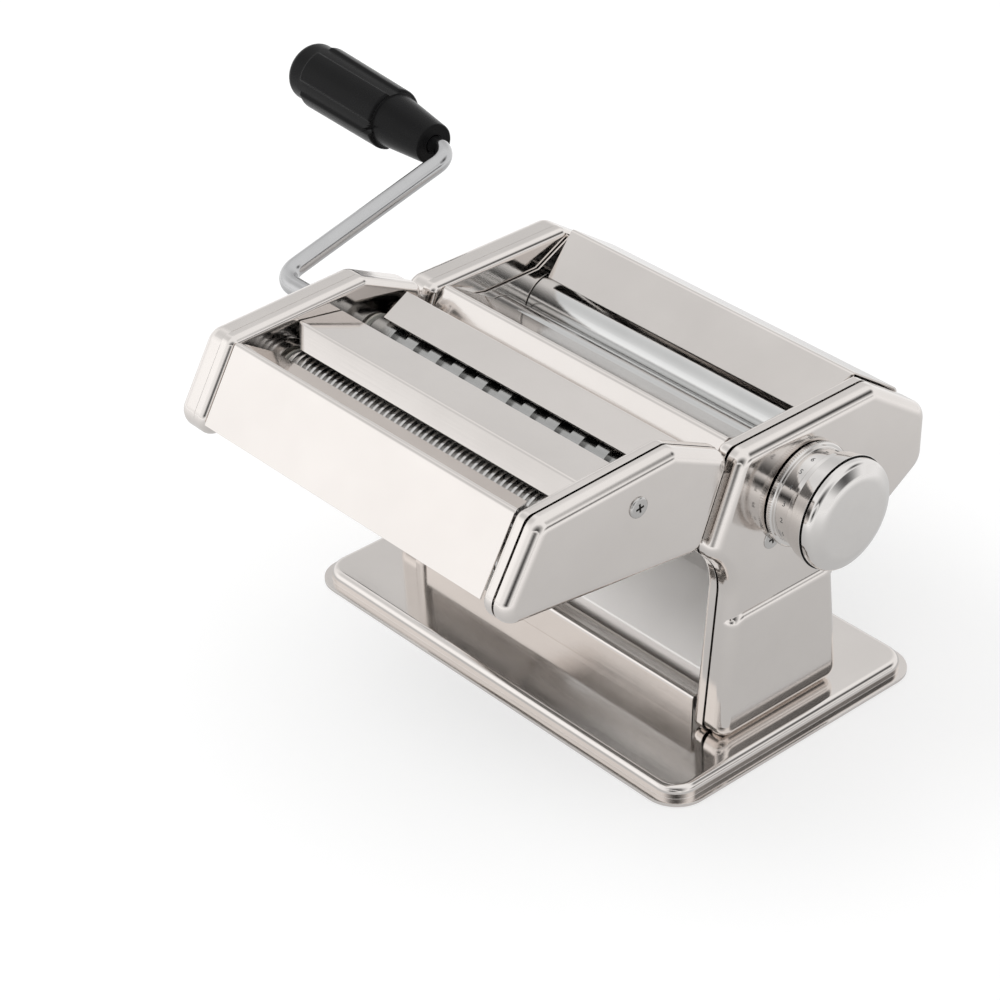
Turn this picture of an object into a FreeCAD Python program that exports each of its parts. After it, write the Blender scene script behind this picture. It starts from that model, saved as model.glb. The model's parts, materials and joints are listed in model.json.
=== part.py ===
import FreeCAD, Part
import math
import os

# Hand-cranked sheet roller with a slide-on cutter unit, in millimetres.
# X runs along the rollers (crank at the low end), Y from the cutter to the back, Z up from the table.

# Smooth rollers: their length and height place the rest of the machine
roller_length = 150.8
roller_height = 102.9
roller_radius = 13.0
roller_end_gap = 1.6
knob_axis_y = 8.5
eccentric = 1.18
widest_gap = 2.6
roller_shaft_radius = 6.5
bush_wall = 2.0
bush_flange = 1.4
running_fit = 0.05
assembly_fit = 0.1
shaft_clearance = 1.0

# Sheet metal
sheet = 0.8
side_bend = 3.2
seam = 1.0
trim_reach = 3.0
drive_extra_depth = 2.6
drive_seam = 0.3
drive_bend = 5.6
drive_corner = 7.6
knob_side_bend = 4.8
knob_side_corner = 6.6

# Base pan
base_margin = 14.8
base_depth = 137.5
base_corner = 14.0
lip_width = 3.2
lip_thickness = 1.3
lip_clearance = 0.4
deck_height = 6.8
deck_bend = 3.2
foot_radius = 8.0
foot_end_inset = 19.0
foot_side_inset = 17.0

# Side stands: inner cheek and outer cover; rises and drops are from the roller axes
cheek_depth = 5.6
cover_depth = 7.4
leg_panel_rise = 1.6
leg_panel_top = 64.0
head_rise = 29.0
head_front = -24.5
head_rear = 46.5
tail_rear = 77.5
tail_rise = 8.0
tail_drop = 16.0
chin_front = -39.5
chin_drop = 8.5
throat_front = -26.3
throat_drop = 21.7
leg_front = -32.0
leg_rear = 35.0
hip_rear = 28.5
hip_height = 56.4
corner_small = 4.2
corner_tail = 9.0
throat_radius = 25.0

# Drive sockets for the crank
socket_radius = 4.05
socket_depth = 19.0
drive_reach = 12.6
socket_opening = 8.0
drive_slot_width = 2.4
drive_slot_depth = 2.6

# Roller gears: long teeth that stay in mesh over the whole gap setting
gear_offset = 2.4
gear_width = 6.6
roller_gear_teeth = 10
roller_gear_tip = 15.6
roller_gear_root = 10.3
roller_tooth_root = 3.4
roller_tooth_tip = 1.5

# Front roller on its eccentric shaft
eccentric_radius = 4.5
sleeve_wall = 1.7
sleeve_length = 14.0
neck_radius = 8.2
neck_gap = 0.4
neck_reach = 9.4
journal_radius = 6.0
far_journal_radius = 3.0

# Hopper; rises and drops are from the roller axes
rear_ridge_y = 49.8
rear_mouth_y = 30.6
rear_mouth_rise = 15.5
front_ridge_y = -18.6
front_mouth_y = 2.4
front_mouth_rise = 15.9
ridge_drop = 1.2
ridge_bend = 1.8
skirt_bend = 3.6
hopper_end_gap = 0.5
mouth_inset = 6.4
panel_inset = 2.4
front_panel_share = 0.75
guard_sheet = 0.8
guard_gap = 0.3
guard_rise = 17.1
guard_drop = 11.0
guard_head_drop = 2.1
guard_toe = 4.0

# Sheets between the legs
plinth_y = -30.6
plinth_height = 20.4
plinth_fold = 7.0
chute_lip_y = -21.4
chute_lip_z = 18.4
chute_bend_y = -20.4
chute_bend_z = 25.0
chute_mid_y = 2.0
chute_mid_z = 49.4
chute_top_y = 29.0
chute_top_drop = 27.5
bracket_y = 27.0
bracket_height = 31.4
bracket_foot = 12.0
clamp_hole_radius = 4.25
clamp_hole_height = 18.4
clamp_collar_wall = 2.2
clamp_collar_length = 12.0
scraper_sheet = 1.0
scraper_reach = 16.0
scraper_gap = 0.6
front_scraper_angle = 215.0
rear_scraper_angle = 325.0

# Tie rods and screws
rod_radius = 3.6
rod_spigot = 2.6
tail_rod_y = 66.0
tail_rod_drop = 3.5
leg_rod_y = 18.0
leg_rod_z = 41.4
foot_rod_y = -2.0
foot_rod_z = 23.4
cover_screw_y = -7.5
cover_screw_drop = 13.5
screw_head_radius = 4.2
screw_head_height = 1.0
screw_dome = 0.8
screw_shank_radius = 1.6
screw_length = 7.0
base_screw_inset = 3.0
base_screw_y = 20.0
base_screw_head = 3.1
base_screw_height = 1.5

# Setting knob
knob_gap = 1.25
knob_ring_radius = 21.0
knob_ring_width = 2.75
knob_neck_radius = 19.4
knob_neck_length = 6.0
knob_step_radius = 20.6
knob_step_length = 3.0
knob_drum_foot_radius = 21.8
knob_drum_radius = 22.6
knob_drum_length = 5.9
knob_groove = 0.7
knob_cap_radius = 23.0
knob_cap_length = 6.0
knob_cap_round = 5.4
knob_wall = 2.2
knob_hub_radius = 8.6
knob_shaft_radius = 5.0
index_plate_radius = 15.4
index_plate_sheet = 0.5
index_track_radius = 13.0
index_holes = 9
index_first_angle = 90.0
index_step = 20.0
index_pin_radius = 1.2

# Cutter unit: inner end plate and outer cap; rises and drops are from the cutter rollers' axes
cutter_axis_rise = 20.0
cap_setback = 1.0
track_gap = 5.0
cutter_front = -123.5
cutter_front_rise = 23.7
cutter_peak = -58.5
cutter_peak_rise = 25.7
cutter_back_rise = 11.5
cutter_heel_drop = 24.6
cutter_toe = -143.9
cutter_toe_drop = 12.4
cutter_corner = 4.4
cutter_toe_radius = 7.5
right_cap_screw_y = -77.0
right_cap_screw_rise = 10.5
left_cap_screw_y = -78.6
left_cap_screw_rise = 13.5
cap_post_radius = 2.6
cutter_rod_radius = 3.0
cutter_rod_spigot = 2.2
upper_rod_y = -119.5
upper_rod_rise = 15.9

# Cutter rollers
fine_front_y = -115.5
wide_rear_y = -54.4
fine_radius = 11.0
wide_radius = 10.0
disc_overlap = 1.4
core_clearance = 0.4
fine_pitch = 3.0
wide_pitch = 13.0
disc_side_clearance = 0.14
disc_sides = 12
core_sides = 6
disc_end_margin = 1.8
core_margin = 1.0
cutter_shaft_radius = 6.2
cutter_gear_teeth = 12
cutter_tooth_height = 2.2
cutter_tooth_root = 2.5
cutter_tooth_tip = 1.1
gear_tip_clearance = 0.5
meshing_phase = 0.5
comb_sheet = 1.0
comb_depth = 7.0
comb_side_clearance = 0.3
comb_point_gap = 0.5
comb_end_gap = 0.3
front_comb_angle = 243.0
rear_comb_angle = 297.0

# Cutter covers; rises and drops are from the cutter rollers' axes
cover_end_gap = 0.5
cover_bend = 1.6
front_cover_inset = 1.5
front_cover_drop = 6.4
front_cover_rise = 22.7
front_lip_y = -109.9
front_lip_rise = 16.7
middle_front_y = -98.5
middle_front_rise = 13.7
middle_ridge_y = -92.0
middle_ridge_rise = 20.0
middle_rear_y = -71.4
middle_rear_rise = 16.5
rear_cover_front_y = -57.6
rear_cover_front_rise = 11.7
rear_cover_back_y = -37.6
rear_cover_back_rise = 13.1
rear_skirt_y = -44.2
rear_skirt_drop = 4.5
cover_inset = 8.0

# Slide rails between the stands and the cutter
rail_web = 1.2
rail_web_depth = 2.2
rail_flange = 3.8
rail_flange_depth = 1.0
rail_inset = 3.4
rail_start = 2.0
rail_length = 34.0
hook_start = 5.0
hook_length = 26.0
hook_clearance = 0.3
hook_wall = 1.1

# Crank
crank_rod_radius = 3.98
crank_arm_gap = 46.4
crank_arm_length = 94.4
crank_arm_angle = 14.7
crank_bend = 9.0
crank_wrist_lean = 4.0
crank_end_gap = 1.0
crank_ear_reach = 5.6
crank_ear_width = 2.0
crank_ear_length = 2.08
crank_ear_inset = 0.26
grip_start = 11.0
grip_length = 88.5
grip_fit = 0.1
grip_nose_radius = 8.8
grip_nose_length = 27.0
grip_nose_round = 1.0
grip_shoulder_radius = 11.6
grip_shoulder_round = 0.4
grip_body_radius = 12.2
grip_end_radius = 12.8
grip_end_round = 4.0
grip_panel_rise = 1.3
grip_panel_width = 14.0
grip_panel_inset = 0.6
grip_panel_margin = 11.0
grip_panel_turn = 45.0
grip_panels = 4
rivet_radius = 6.0
rivet_height = 1.6

V = FreeCAD.Vector
full_turn = 360.0
same_place = 1e-6

# Places along the rollers, from the middle outwards
roller_half_length = roller_length / 2.0
guard_face = roller_half_length + guard_gap
cheek_face = roller_half_length + roller_end_gap
cheek_rim = cheek_face + cheek_depth
cover_rim = cheek_rim + seam
cover_face = cover_rim + cover_depth
cap_face = cover_face - cap_setback
drive_cover_rim = cheek_rim + drive_seam
drive_cover_face = cover_face + drive_extra_depth
drive_cap_face = cap_face + drive_extra_depth
base_length = 2.0 * (cover_face + base_margin)
base_screw_x = cheek_face + base_screw_inset
rail_centre = cheek_face + rail_inset
gear_start = cheek_face + gear_offset
plain_end = gear_start + gear_width
neck_end = cheek_face + neck_reach
drive_end = cheek_face + drive_reach
crank_arm_x = drive_end + crank_arm_gap
disc_zone = roller_half_length - disc_end_margin
core_end = disc_zone + core_margin

# Heights above the table
head_top = roller_height + head_rise
tail_top = roller_height + tail_rise
tail_bottom = roller_height - tail_drop
chin_height = roller_height - chin_drop
throat_height = roller_height - throat_drop
ridge_z = head_top - ridge_drop
rear_mouth_z = roller_height + rear_mouth_rise
front_mouth_z = roller_height + front_mouth_rise
cover_screw_z = roller_height - cover_screw_drop
chute_top_z = roller_height - chute_top_drop
cutter_axis_z = roller_height + cutter_axis_rise
cutter_toe_z = cutter_axis_z - cutter_toe_drop
cutter_front_z = cutter_axis_z + cutter_front_rise
right_cap_screw_z = cutter_axis_z + right_cap_screw_rise
left_cap_screw_z = cutter_axis_z + left_cap_screw_rise

# Roller axes, rail direction and the crank's reach
front_roller_y = knob_axis_y - eccentric
rear_roller_y = front_roller_y + 2.0 * roller_radius + widest_gap
fine_distance = 2.0 * fine_radius - disc_overlap
wide_distance = 2.0 * wide_radius - disc_overlap
fine_rear_y = fine_front_y + fine_distance
wide_front_y = wide_rear_y - wide_distance
track_length = math.hypot(head_front - chin_front, head_top - chin_height)
track_y = (head_front - chin_front) / track_length
track_z = (head_top - chin_height) / track_length
neck_clearance = neck_radius + eccentric + neck_gap
sleeve_radius = eccentric_radius + running_fit + sleeve_wall
crank_arm_y = math.cos(math.radians(crank_arm_angle))
crank_arm_z = math.sin(math.radians(crank_arm_angle))
grip_y = wide_rear_y + crank_arm_length * crank_arm_y
grip_z = cutter_axis_z + crank_arm_length * crank_arm_z


def corner_arc(here, into, out, radius):
    """Start, middle and end of the arc that rounds the corner between two directions."""
    half = into.getAngle(out) / 2.0
    reach = radius * math.tan(half)
    bulge = radius / math.cos(half) - radius
    middle = here + (out - into).normalize() * bulge if radius else here
    return here - into * reach, middle, here + out * reach


def rounded_wire(corners, place):
    """Closed outline through corners (a, b, radius); place turns a and b into a point."""
    stretches = []
    for i, (a, b, radius) in enumerate(corners):
        here = place(a, b)
        into = (here - place(*corners[i - 1][:2])).normalize()
        out = (place(*corners[(i + 1) % len(corners)][:2]) - here).normalize()
        stretches.append(corner_arc(here, into, out, radius))
    edges = []
    for i, (start, middle, end) in enumerate(stretches):
        if start.distanceToPoint(end) > same_place:
            edges.append(Part.Arc(start, middle, end).toShape())
        edges.append(Part.LineSegment(end, stretches[(i + 1) % len(stretches)][0]).toShape())
    return Part.Wire(edges)


def side_outline(corners, x):
    """Flat face of an outline in Y and Z, square to the rollers."""
    return Part.Face(rounded_wire(corners, lambda y, z: V(x, y, z)))


def flat_outline(corners, z):
    """Flat face of an outline in X and Y, level with the table."""
    return Part.Face(rounded_wire(corners, lambda x, y: V(x, y, z)))


def turned(corners, y, z):
    """Solid turned about an axis along X; corners are (x, radius, corner radius)."""
    face = Part.Face(rounded_wire(corners, lambda x, r: V(x, y + r, z)))
    return face.revolve(V(0, y, z), V(1, 0, 0), full_turn)


def rod(x_start, x_end, y, z, radius):
    """Plain round bar along X."""
    return Part.makeCylinder(radius, x_end - x_start, V(x_start, y, z), V(1, 0, 0))


def ring(x_start, x_end, y, z, outer, inner):
    """Round bar along X with a hole through it."""
    return rod(x_start, x_end, y, z, outer).cut(rod(x_start, x_end, y, z, inner))


def mirrored(shape):
    """The left-hand twin of a right-hand piece."""
    return shape.mirror(V(0, 0, 0), V(1, 0, 0))


def edges_at(shape, x):
    """Edges that lie in the plane at x."""
    found = []
    for edge in shape.Edges:
        box = edge.BoundBox
        if abs(box.XMin - x) < same_place and abs(box.XMax - x) < same_place:
            found.append(edge)
    return found


def softened(corners, least):
    """Outline of a soft outer pressing: none of its corners is tighter than the least radius."""
    return [(y, z, max(radius, least)) for y, z, radius in corners]


def pressing(corners, floor_x, rim_x, bend=side_bend):
    """Outer block and inner hollow of a pressed pan, floor edges rounded to the bend radius."""
    outline = side_outline(corners, floor_x)
    depth = V(rim_x - floor_x, 0, 0)
    inward = V(math.copysign(sheet, rim_x - floor_x), 0, 0)
    block = outline.extrude(depth)
    block = block.makeFillet(bend, edges_at(block, floor_x))
    hollow = outline.makeOffset2D(-sheet).extrude(depth)
    hollow = hollow.makeFillet(bend - sheet, edges_at(hollow, floor_x))
    hollow.translate(inward)
    return block, hollow


def pan(corners, floor_x, rim_x, bend=side_bend):
    """Pressed pan: flat floor with a rim all round."""
    block, hollow = pressing(corners, floor_x, rim_x, bend)
    return block.cut(hollow)


def bent_sheet(path, thickness, x_start, x_end):
    """Folded sheet: path gives (y, z, bend radius) along the middle of the sheet."""
    half = thickness / 2.0
    left = []
    right = []
    for i, (y, z, bend) in enumerate(path):
        here = V(0, y, z)
        into = (here - V(0, *path[max(i - 1, 0)][:2])) if i else (V(0, *path[1][:2]) - here)
        out = (V(0, *path[i + 1][:2]) - here) if i + 1 < len(path) else into
        into.normalize()
        out.normalize()
        bisector = V(0, -(into.z + out.z), into.y + out.y).normalize()
        mitre = half / max(bisector.dot(V(0, -out.z, out.y)), half)
        turn = into.y * out.z - into.z * out.y
        side = math.copysign(half, turn) if bend else 0.0
        left.append((y + bisector.y * mitre, z + bisector.z * mitre, max(bend - side, 0.0)))
        right.append((y - bisector.y * mitre, z - bisector.z * mitre, max(bend + side, 0.0)))
    return side_outline(left + right[::-1], x_start).extrude(V(x_end - x_start, 0, 0))


def trimmed_ends(shape, half_length, wide_edge, narrow_edge, inset):
    """Cuts a sheet's ends on a slant: full length at the wide edge, shorter at the narrow one."""
    wide = V(half_length, *wide_edge)
    narrow = V(half_length - inset, *narrow_edge)
    slant = narrow - wide
    tip = narrow + slant
    across = V(0, -slant.z, slant.y).normalize() * trim_reach
    corners = [wide, tip, V(half_length + inset, tip.y, tip.z), V(half_length + inset, wide.y, wide.z)]
    corners = [corner - across for corner in corners]
    wedge = Part.Face(Part.makePolygon(corners + corners[:1])).extrude(across * 2.0)
    return shape.cut(wedge).cut(mirrored(wedge))


def stand_outline():
    """Side view of a stand: head, overhanging tail, throat and leg."""
    return [
        (head_front, head_top, corner_small),
        (head_rear, head_top, corner_small),
        (tail_rear, tail_top, corner_tail),
        (tail_rear, tail_bottom, corner_tail),
        (hip_rear, hip_height, corner_tail),
        (leg_rear, deck_height, corner_small),
        (leg_front, deck_height, corner_small),
        (throat_front, throat_height, throat_radius),
        (chin_front, chin_height, corner_small),
    ]


def track_point(along, off):
    """Point beside the slanted front edge of a stand: along it from the chin, and off it to the front."""
    y = chin_front + along * track_y - off * track_z
    z = chin_height + along * track_z + off * track_y
    return y, z


def cutter_outline():
    """Side view of the cutter unit; its back edge runs parallel to the stand's front edge."""
    chin_y, chin_z = track_point(0.0, track_gap)
    back_z = cutter_axis_z + cutter_back_rise
    heel_z = cutter_axis_z - cutter_heel_drop
    back_y = chin_y + (back_z - chin_z) * track_y / track_z
    heel_y = chin_y + (heel_z - chin_z) * track_y / track_z
    return [
        (cutter_front, cutter_front_z, cutter_corner),
        (cutter_peak, cutter_axis_z + cutter_peak_rise, cutter_corner),
        (back_y, back_z, cutter_corner),
        (heel_y, heel_z, cutter_corner),
        (cutter_toe, cutter_toe_z, cutter_toe_radius),
    ]


def base_pan():
    """Low pressed pan, open below, with a rounded deck edge and a flat lip."""
    def rectangle(inset, radius, z):
        x = base_length / 2.0 - inset
        y = base_depth / 2.0 - inset
        return flat_outline([(x, y, radius), (-x, y, radius), (-x, -y, radius), (x, -y, radius)], z)

    shoulder_corner = base_corner - lip_width
    lip = rectangle(0.0, base_corner, lip_clearance).extrude(V(0, 0, lip_thickness))
    block = rectangle(lip_width, shoulder_corner, lip_clearance).extrude(V(0, 0, deck_height - lip_clearance))
    top = [e for e in block.Edges if abs(e.BoundBox.ZMin - deck_height) < same_place]
    block = block.makeFillet(deck_bend, top)
    hollow = rectangle(lip_width + deck_bend, shoulder_corner - deck_bend, lip_clearance)
    hollow = hollow.extrude(V(0, 0, deck_height - sheet - lip_clearance))
    shape = block.fuse(lip).cut(hollow)
    hole = screw_shank_radius + assembly_fit
    for x, y in base_screw_places():
        shape = shape.cut(Part.makeCylinder(hole, deck_height, V(x, y, 0)))
    return shape.removeSplitter()


def base_screw_places():
    """The four screws that hold the cheeks to the deck."""
    return [(sx * base_screw_x, sy * base_screw_y) for sx in (-1, 1) for sy in (-1, 1)]


def base_screws():
    """Screws from below, through the deck and the foot of each cheek."""
    seat = deck_height - sheet
    length = screw_length - base_screw_height
    screws = []
    for x, y in base_screw_places():
        head = Part.makeCylinder(base_screw_head, base_screw_height, V(x, y, seat - base_screw_height))
        screws.append(head.fuse(Part.makeCylinder(screw_shank_radius, length, V(x, y, seat))))
    return Part.makeCompound(screws)


def rubber_feet():
    """Four rubber discs under the deck; the machine stands on them."""
    x = base_length / 2.0 - foot_end_inset
    y = base_depth / 2.0 - foot_side_inset
    feet = []
    for place in (V(x, y, 0), V(-x, y, 0), V(-x, -y, 0), V(x, -y, 0)):
        feet.append(Part.makeCylinder(foot_radius, deck_height - sheet, place))
    return Part.makeCompound(feet)


def inner_cheek():
    """Right-hand inner cheek, with holes for the shafts, the tie rods and the base screws."""
    shape = pan(stand_outline(), cheek_face, cheek_rim)
    for y, z in rod_places():
        shape = shape.cut(rod(cheek_face, cheek_rim, y, z, rod_spigot + assembly_fit))
    bush_radius = roller_shaft_radius + bush_wall + running_fit
    shape = shape.cut(rod(cheek_face, cheek_rim, rear_roller_y, roller_height, bush_radius))
    hole = screw_shank_radius + assembly_fit
    for y in (-base_screw_y, base_screw_y):
        shape = shape.cut(Part.makeCylinder(hole, deck_height + screw_length, V(base_screw_x, y, 0)))
    return shape


def right_inner_cheek():
    """Cheek on the knob side: the eccentric shaft runs in a bush here."""
    bush_radius = journal_radius + bush_wall + running_fit
    return inner_cheek().cut(rod(cheek_face, cheek_rim, knob_axis_y, roller_height, bush_radius))


def left_inner_cheek():
    """Cheek on the crank side: the front roller's neck moves in a wide hole here."""
    return mirrored(inner_cheek().cut(rod(cheek_face, cheek_rim, knob_axis_y, roller_height, neck_clearance)))


def leg_outline():
    """The leg below the crease where its panel steps outwards."""
    rise = leg_panel_top - deck_height
    front = leg_front + (throat_front - leg_front) * rise / (throat_height - deck_height)
    rear = leg_rear + (hip_rear - leg_rear) * rise / (hip_height - deck_height)
    return [
        (front, leg_panel_top, corner_small),
        (rear, leg_panel_top, corner_small),
        (leg_rear, deck_height, corner_small),
        (leg_front, deck_height, corner_small),
    ]


def outer_cover(head_outline, lower_outline, face, rim, bend):
    """Outer cover with the leg panel stepped out, as for the right-hand side, before its shaft holes."""
    head, head_hollow = pressing(head_outline, face, rim, bend)
    leg, leg_hollow = pressing(lower_outline, face + leg_panel_rise, rim, bend)
    screw_hole = rod(rim, face, cover_screw_y, cover_screw_z, screw_shank_radius + assembly_fit)
    return head.fuse(leg).cut([head_hollow, leg_hollow, screw_hole]).removeSplitter()


def right_outer_cover():
    """Cover on the knob side."""
    clear = journal_radius + assembly_fit
    head = softened(stand_outline(), knob_side_corner)
    leg = softened(leg_outline(), knob_side_corner)
    shape = outer_cover(head, leg, cover_face, cover_rim, knob_side_bend)
    return shape.cut(rod(cover_rim, cover_face, knob_axis_y, roller_height, clear))


def left_outer_cover():
    """Deeper cover over the gears, with the crank's hole and the seat of the eccentric shaft's far bush."""
    rim = drive_cover_rim
    face = drive_cover_face
    head = softened(stand_outline(), drive_corner)
    leg = softened(leg_outline(), drive_corner)
    shape = outer_cover(head, leg, face, rim, drive_bend)
    shape = shape.cut(rod(rim, face, rear_roller_y, roller_height, socket_opening))
    seat = eccentric_radius + bush_wall + running_fit
    shape = shape.cut(rod(rim, face, knob_axis_y, roller_height, seat))
    return mirrored(shape)


def rod_places():
    """Tie rods: the first one also takes the cover screws."""
    tail = (tail_rod_y, roller_height - tail_rod_drop)
    return [(cover_screw_y, cover_screw_z), tail, (leg_rod_y, leg_rod_z), (foot_rod_y, foot_rod_z)]


def tie_rods():
    """Rods that hold the cheeks apart, shouldered on the cheek floors and riveted over behind them."""
    rods = []
    for i, (y, z) in enumerate(rod_places()):
        riveted = cheek_face + sheet + rod_spigot
        left = drive_cover_face - sheet if i == 0 else riveted
        right = cover_face - sheet if i == 0 else riveted
        bar = rod(-cheek_face, cheek_face, y, z, rod_radius).fuse(rod(-left, right, y, z, rod_spigot))
        if i == 0:
            for x in (-left, right - screw_length):
                bar = bar.cut(rod(x, x + screw_length, y, z, screw_shank_radius + assembly_fit))
        rods.append(bar.removeSplitter())
    return Part.makeCompound(rods)


def pan_head_screw(x, y, z):
    """Cross-head screw seated on a face at x, on the right-hand side."""
    top = x + screw_head_height
    corners = [(x, 0, 0), (x, screw_head_radius, 0), (top, screw_head_radius, screw_dome), (top, 0, 0)]
    head = turned(corners, y, z)
    return head.fuse(rod(top - screw_length, x, y, z, screw_shank_radius))


def cover_screws():
    """One screw in each outer cover, into the end of a tie rod."""
    right = pan_head_screw(cover_face, cover_screw_y, cover_screw_z)
    left = pan_head_screw(drive_cover_face, cover_screw_y, cover_screw_z)
    return Part.makeCompound([right, mirrored(left)])


def socketed(shape, y, z):
    """Cuts the crank's socket and its cross slot into the left-hand end of a shaft."""
    shape = shape.cut(rod(-drive_end, -drive_end + socket_depth, y, z, socket_radius))
    reach = roller_shaft_radius * 2.0
    corner = V(-drive_end, y - reach, z - drive_slot_width / 2.0)
    return shape.cut(Part.makeBox(drive_slot_depth, reach * 2.0, drive_slot_width, corner))


def rear_roller():
    """Fixed smooth roller; its left-hand end takes the crank."""
    shape = rod(-roller_half_length, roller_half_length, rear_roller_y, roller_height, roller_radius)
    shaft = rod(-drive_end, cheek_rim, rear_roller_y, roller_height, roller_shaft_radius)
    return socketed(shape.fuse(shaft), rear_roller_y, roller_height)


def front_roller():
    """Adjustable smooth roller: a tube with a neck through the left-hand cheek."""
    bore = sleeve_radius + running_fit
    shape = rod(-roller_half_length, roller_half_length, front_roller_y, roller_height, roller_radius)
    shape = shape.fuse(rod(-neck_end, 0, front_roller_y, roller_height, neck_radius))
    return shape.cut(rod(-neck_end, roller_half_length, front_roller_y, roller_height, bore)).removeSplitter()


def gear(x, y, z, teeth, tip, root, root_width, tip_width, bore, phase):
    """Straight gear whose teeth taper from root to tip; phase turns it in tooth pitches."""
    tooth = [(root, root_width, -1), (tip, tip_width, -1), (tip, tip_width, 1), (root, root_width, 1)]
    points = []
    for i in range(teeth):
        angle = full_turn * (i + phase) / teeth
        for radius, width, side in tooth:
            turn = math.radians(angle) + side * math.atan2(width / 2.0, radius)
            points.append(V(x, y + radius * math.cos(turn), z + radius * math.sin(turn)))
    face = Part.Face(Part.makePolygon(points + points[:1]))
    return face.extrude(V(gear_width, 0, 0)).cut(rod(x, x + gear_width, y, z, bore))


def roller_gear(y, bore, phase):
    """Gear on the left-hand end of a smooth roller."""
    return gear(-gear_start - gear_width, y, roller_height, roller_gear_teeth, roller_gear_tip,
                roller_gear_root, roller_tooth_root, roller_tooth_tip, bore, phase)


def flanged_bush(y, z, bore):
    """Plain bush in the right-hand cheek, flange outside."""
    outer = bore + bush_wall
    seat = cheek_face + sheet
    body = ring(cheek_face, seat, y, z, outer, bore)
    flange = ring(seat, seat + bush_flange, y, z, outer + bush_flange, bore)
    return body.fuse(flange).removeSplitter()


def rear_roller_bushes():
    """Bushes of the rear roller in both cheeks."""
    bush = flanged_bush(rear_roller_y, roller_height, roller_shaft_radius + running_fit)
    return Part.makeCompound([bush, mirrored(bush)])


def eccentric_bushes():
    """Bushes of the eccentric shaft: one in the right-hand cheek, one in the left-hand cover."""
    right = flanged_bush(knob_axis_y, roller_height, journal_radius + running_fit)
    bore = far_journal_radius + running_fit
    seat = eccentric_radius + bush_wall
    left = ring(-drive_cover_face, -neck_end - shaft_clearance, knob_axis_y, roller_height, seat, bore)
    return Part.makeCompound([right, left])


def eccentric_shaft():
    """Shaft turned by the knob: its ends run true, and its middle, which carries the roller, is offset."""
    shaft_end = cover_face + knob_gap + knob_ring_width + knob_neck_length + knob_step_length
    middle = rod(-neck_end, roller_half_length, front_roller_y, roller_height, eccentric_radius)
    left = rod(-drive_cover_face, -neck_end, knob_axis_y, roller_height, far_journal_radius)
    right = rod(roller_half_length, cover_face, knob_axis_y, roller_height, journal_radius)
    end = rod(cover_face, shaft_end, knob_axis_y, roller_height, knob_shaft_radius)
    return middle.fuse([left, right, end]).removeSplitter()


def front_roller_sleeves():
    """Bearing sleeves between the eccentric shaft and the front roller, one at each end."""
    bore = eccentric_radius + running_fit
    sleeves = []
    for start in (roller_half_length - sleeve_length, -neck_end):
        sleeves.append(ring(start, start + sleeve_length, front_roller_y, roller_height, sleeve_radius, bore))
    return Part.makeCompound(sleeves)


def rear_hopper_sheet():
    """One sheet: the slope down to the rear roller, the ridge, the rear slope and the back skirt."""
    half = cheek_face - hopper_end_gap
    skirt_y = tail_rear - panel_inset
    slope = (tail_top - head_top) / (tail_rear - head_rear)
    bend_z = ridge_z + slope * (skirt_y - rear_ridge_y)
    path = [(rear_mouth_y, rear_mouth_z, 0), (rear_ridge_y, ridge_z, ridge_bend),
            (skirt_y, bend_z, skirt_bend), (skirt_y, tail_bottom, 0)]
    shape = bent_sheet(path, sheet, -half, half)
    return trimmed_ends(shape, half, (rear_ridge_y, ridge_z), (rear_mouth_y, rear_mouth_z), mouth_inset)


def front_hopper_bar():
    """Folded bar in front of the rollers: slope, ridge, and a front panel along the stands' front edges."""
    half = cheek_face - hopper_end_gap
    top_y, top_z = track_point(track_length * front_panel_share, -panel_inset)
    low_y, low_z = track_point(corner_small, -panel_inset)
    path = [(front_mouth_y, front_mouth_z, 0), (front_ridge_y, ridge_z, ridge_bend),
            (top_y, top_z, ridge_bend), (low_y, low_z, 0)]
    shape = bent_sheet(path, sheet, -half, half)
    return trimmed_ends(shape, half, (front_ridge_y, ridge_z), (front_mouth_y, front_mouth_z), mouth_inset)


def end_guard():
    """Right-hand end guard: a plate between the roller ends and the cheek that keeps the sheet in."""
    top = head_top - guard_head_drop
    level = roller_height + guard_rise
    low = roller_height - guard_drop
    corners = [
        (front_ridge_y + mouth_inset, top - mouth_inset, 0),
        (front_mouth_y, level, 0),
        (rear_mouth_y, level, 0),
        (rear_ridge_y, top, 0),
        (rear_ridge_y, top - mouth_inset, 0),
        (rear_roller_y + roller_radius, low, 0),
        (front_roller_y - roller_radius + guard_toe, low, 0),
    ]
    shape = side_outline(corners, guard_face).extrude(V(guard_sheet, 0, 0))
    shaft_hole = roller_shaft_radius + shaft_clearance
    shape = shape.cut(rod(guard_face, cheek_face, rear_roller_y, roller_height, shaft_hole))
    return shape.cut(rod(guard_face, cheek_face, knob_axis_y, roller_height, neck_clearance))


def scraper(axis_y, radius, angle):
    """Level blade beside a roller, its edge just off the roller and its ends at the end guards."""
    edge = radius + scraper_gap + scraper_sheet / 2.0
    y = axis_y + edge * math.cos(math.radians(angle))
    z = roller_height + edge * math.sin(math.radians(angle))
    tail = y + math.copysign(scraper_reach, y - axis_y)
    return bent_sheet([(y, z, 0), (tail, z, 0)], scraper_sheet, -roller_half_length, roller_half_length)


def chute_sheet():
    """Sloping sheet between the legs that turns the rolled sheet to the front."""
    half = cheek_face - hopper_end_gap
    path = [(chute_lip_y, chute_lip_z, 0), (chute_bend_y, chute_bend_z, cover_bend),
            (chute_mid_y, chute_mid_z, cover_bend), (chute_top_y, chute_top_z, 0)]
    return bent_sheet(path, sheet, -half, half)


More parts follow.
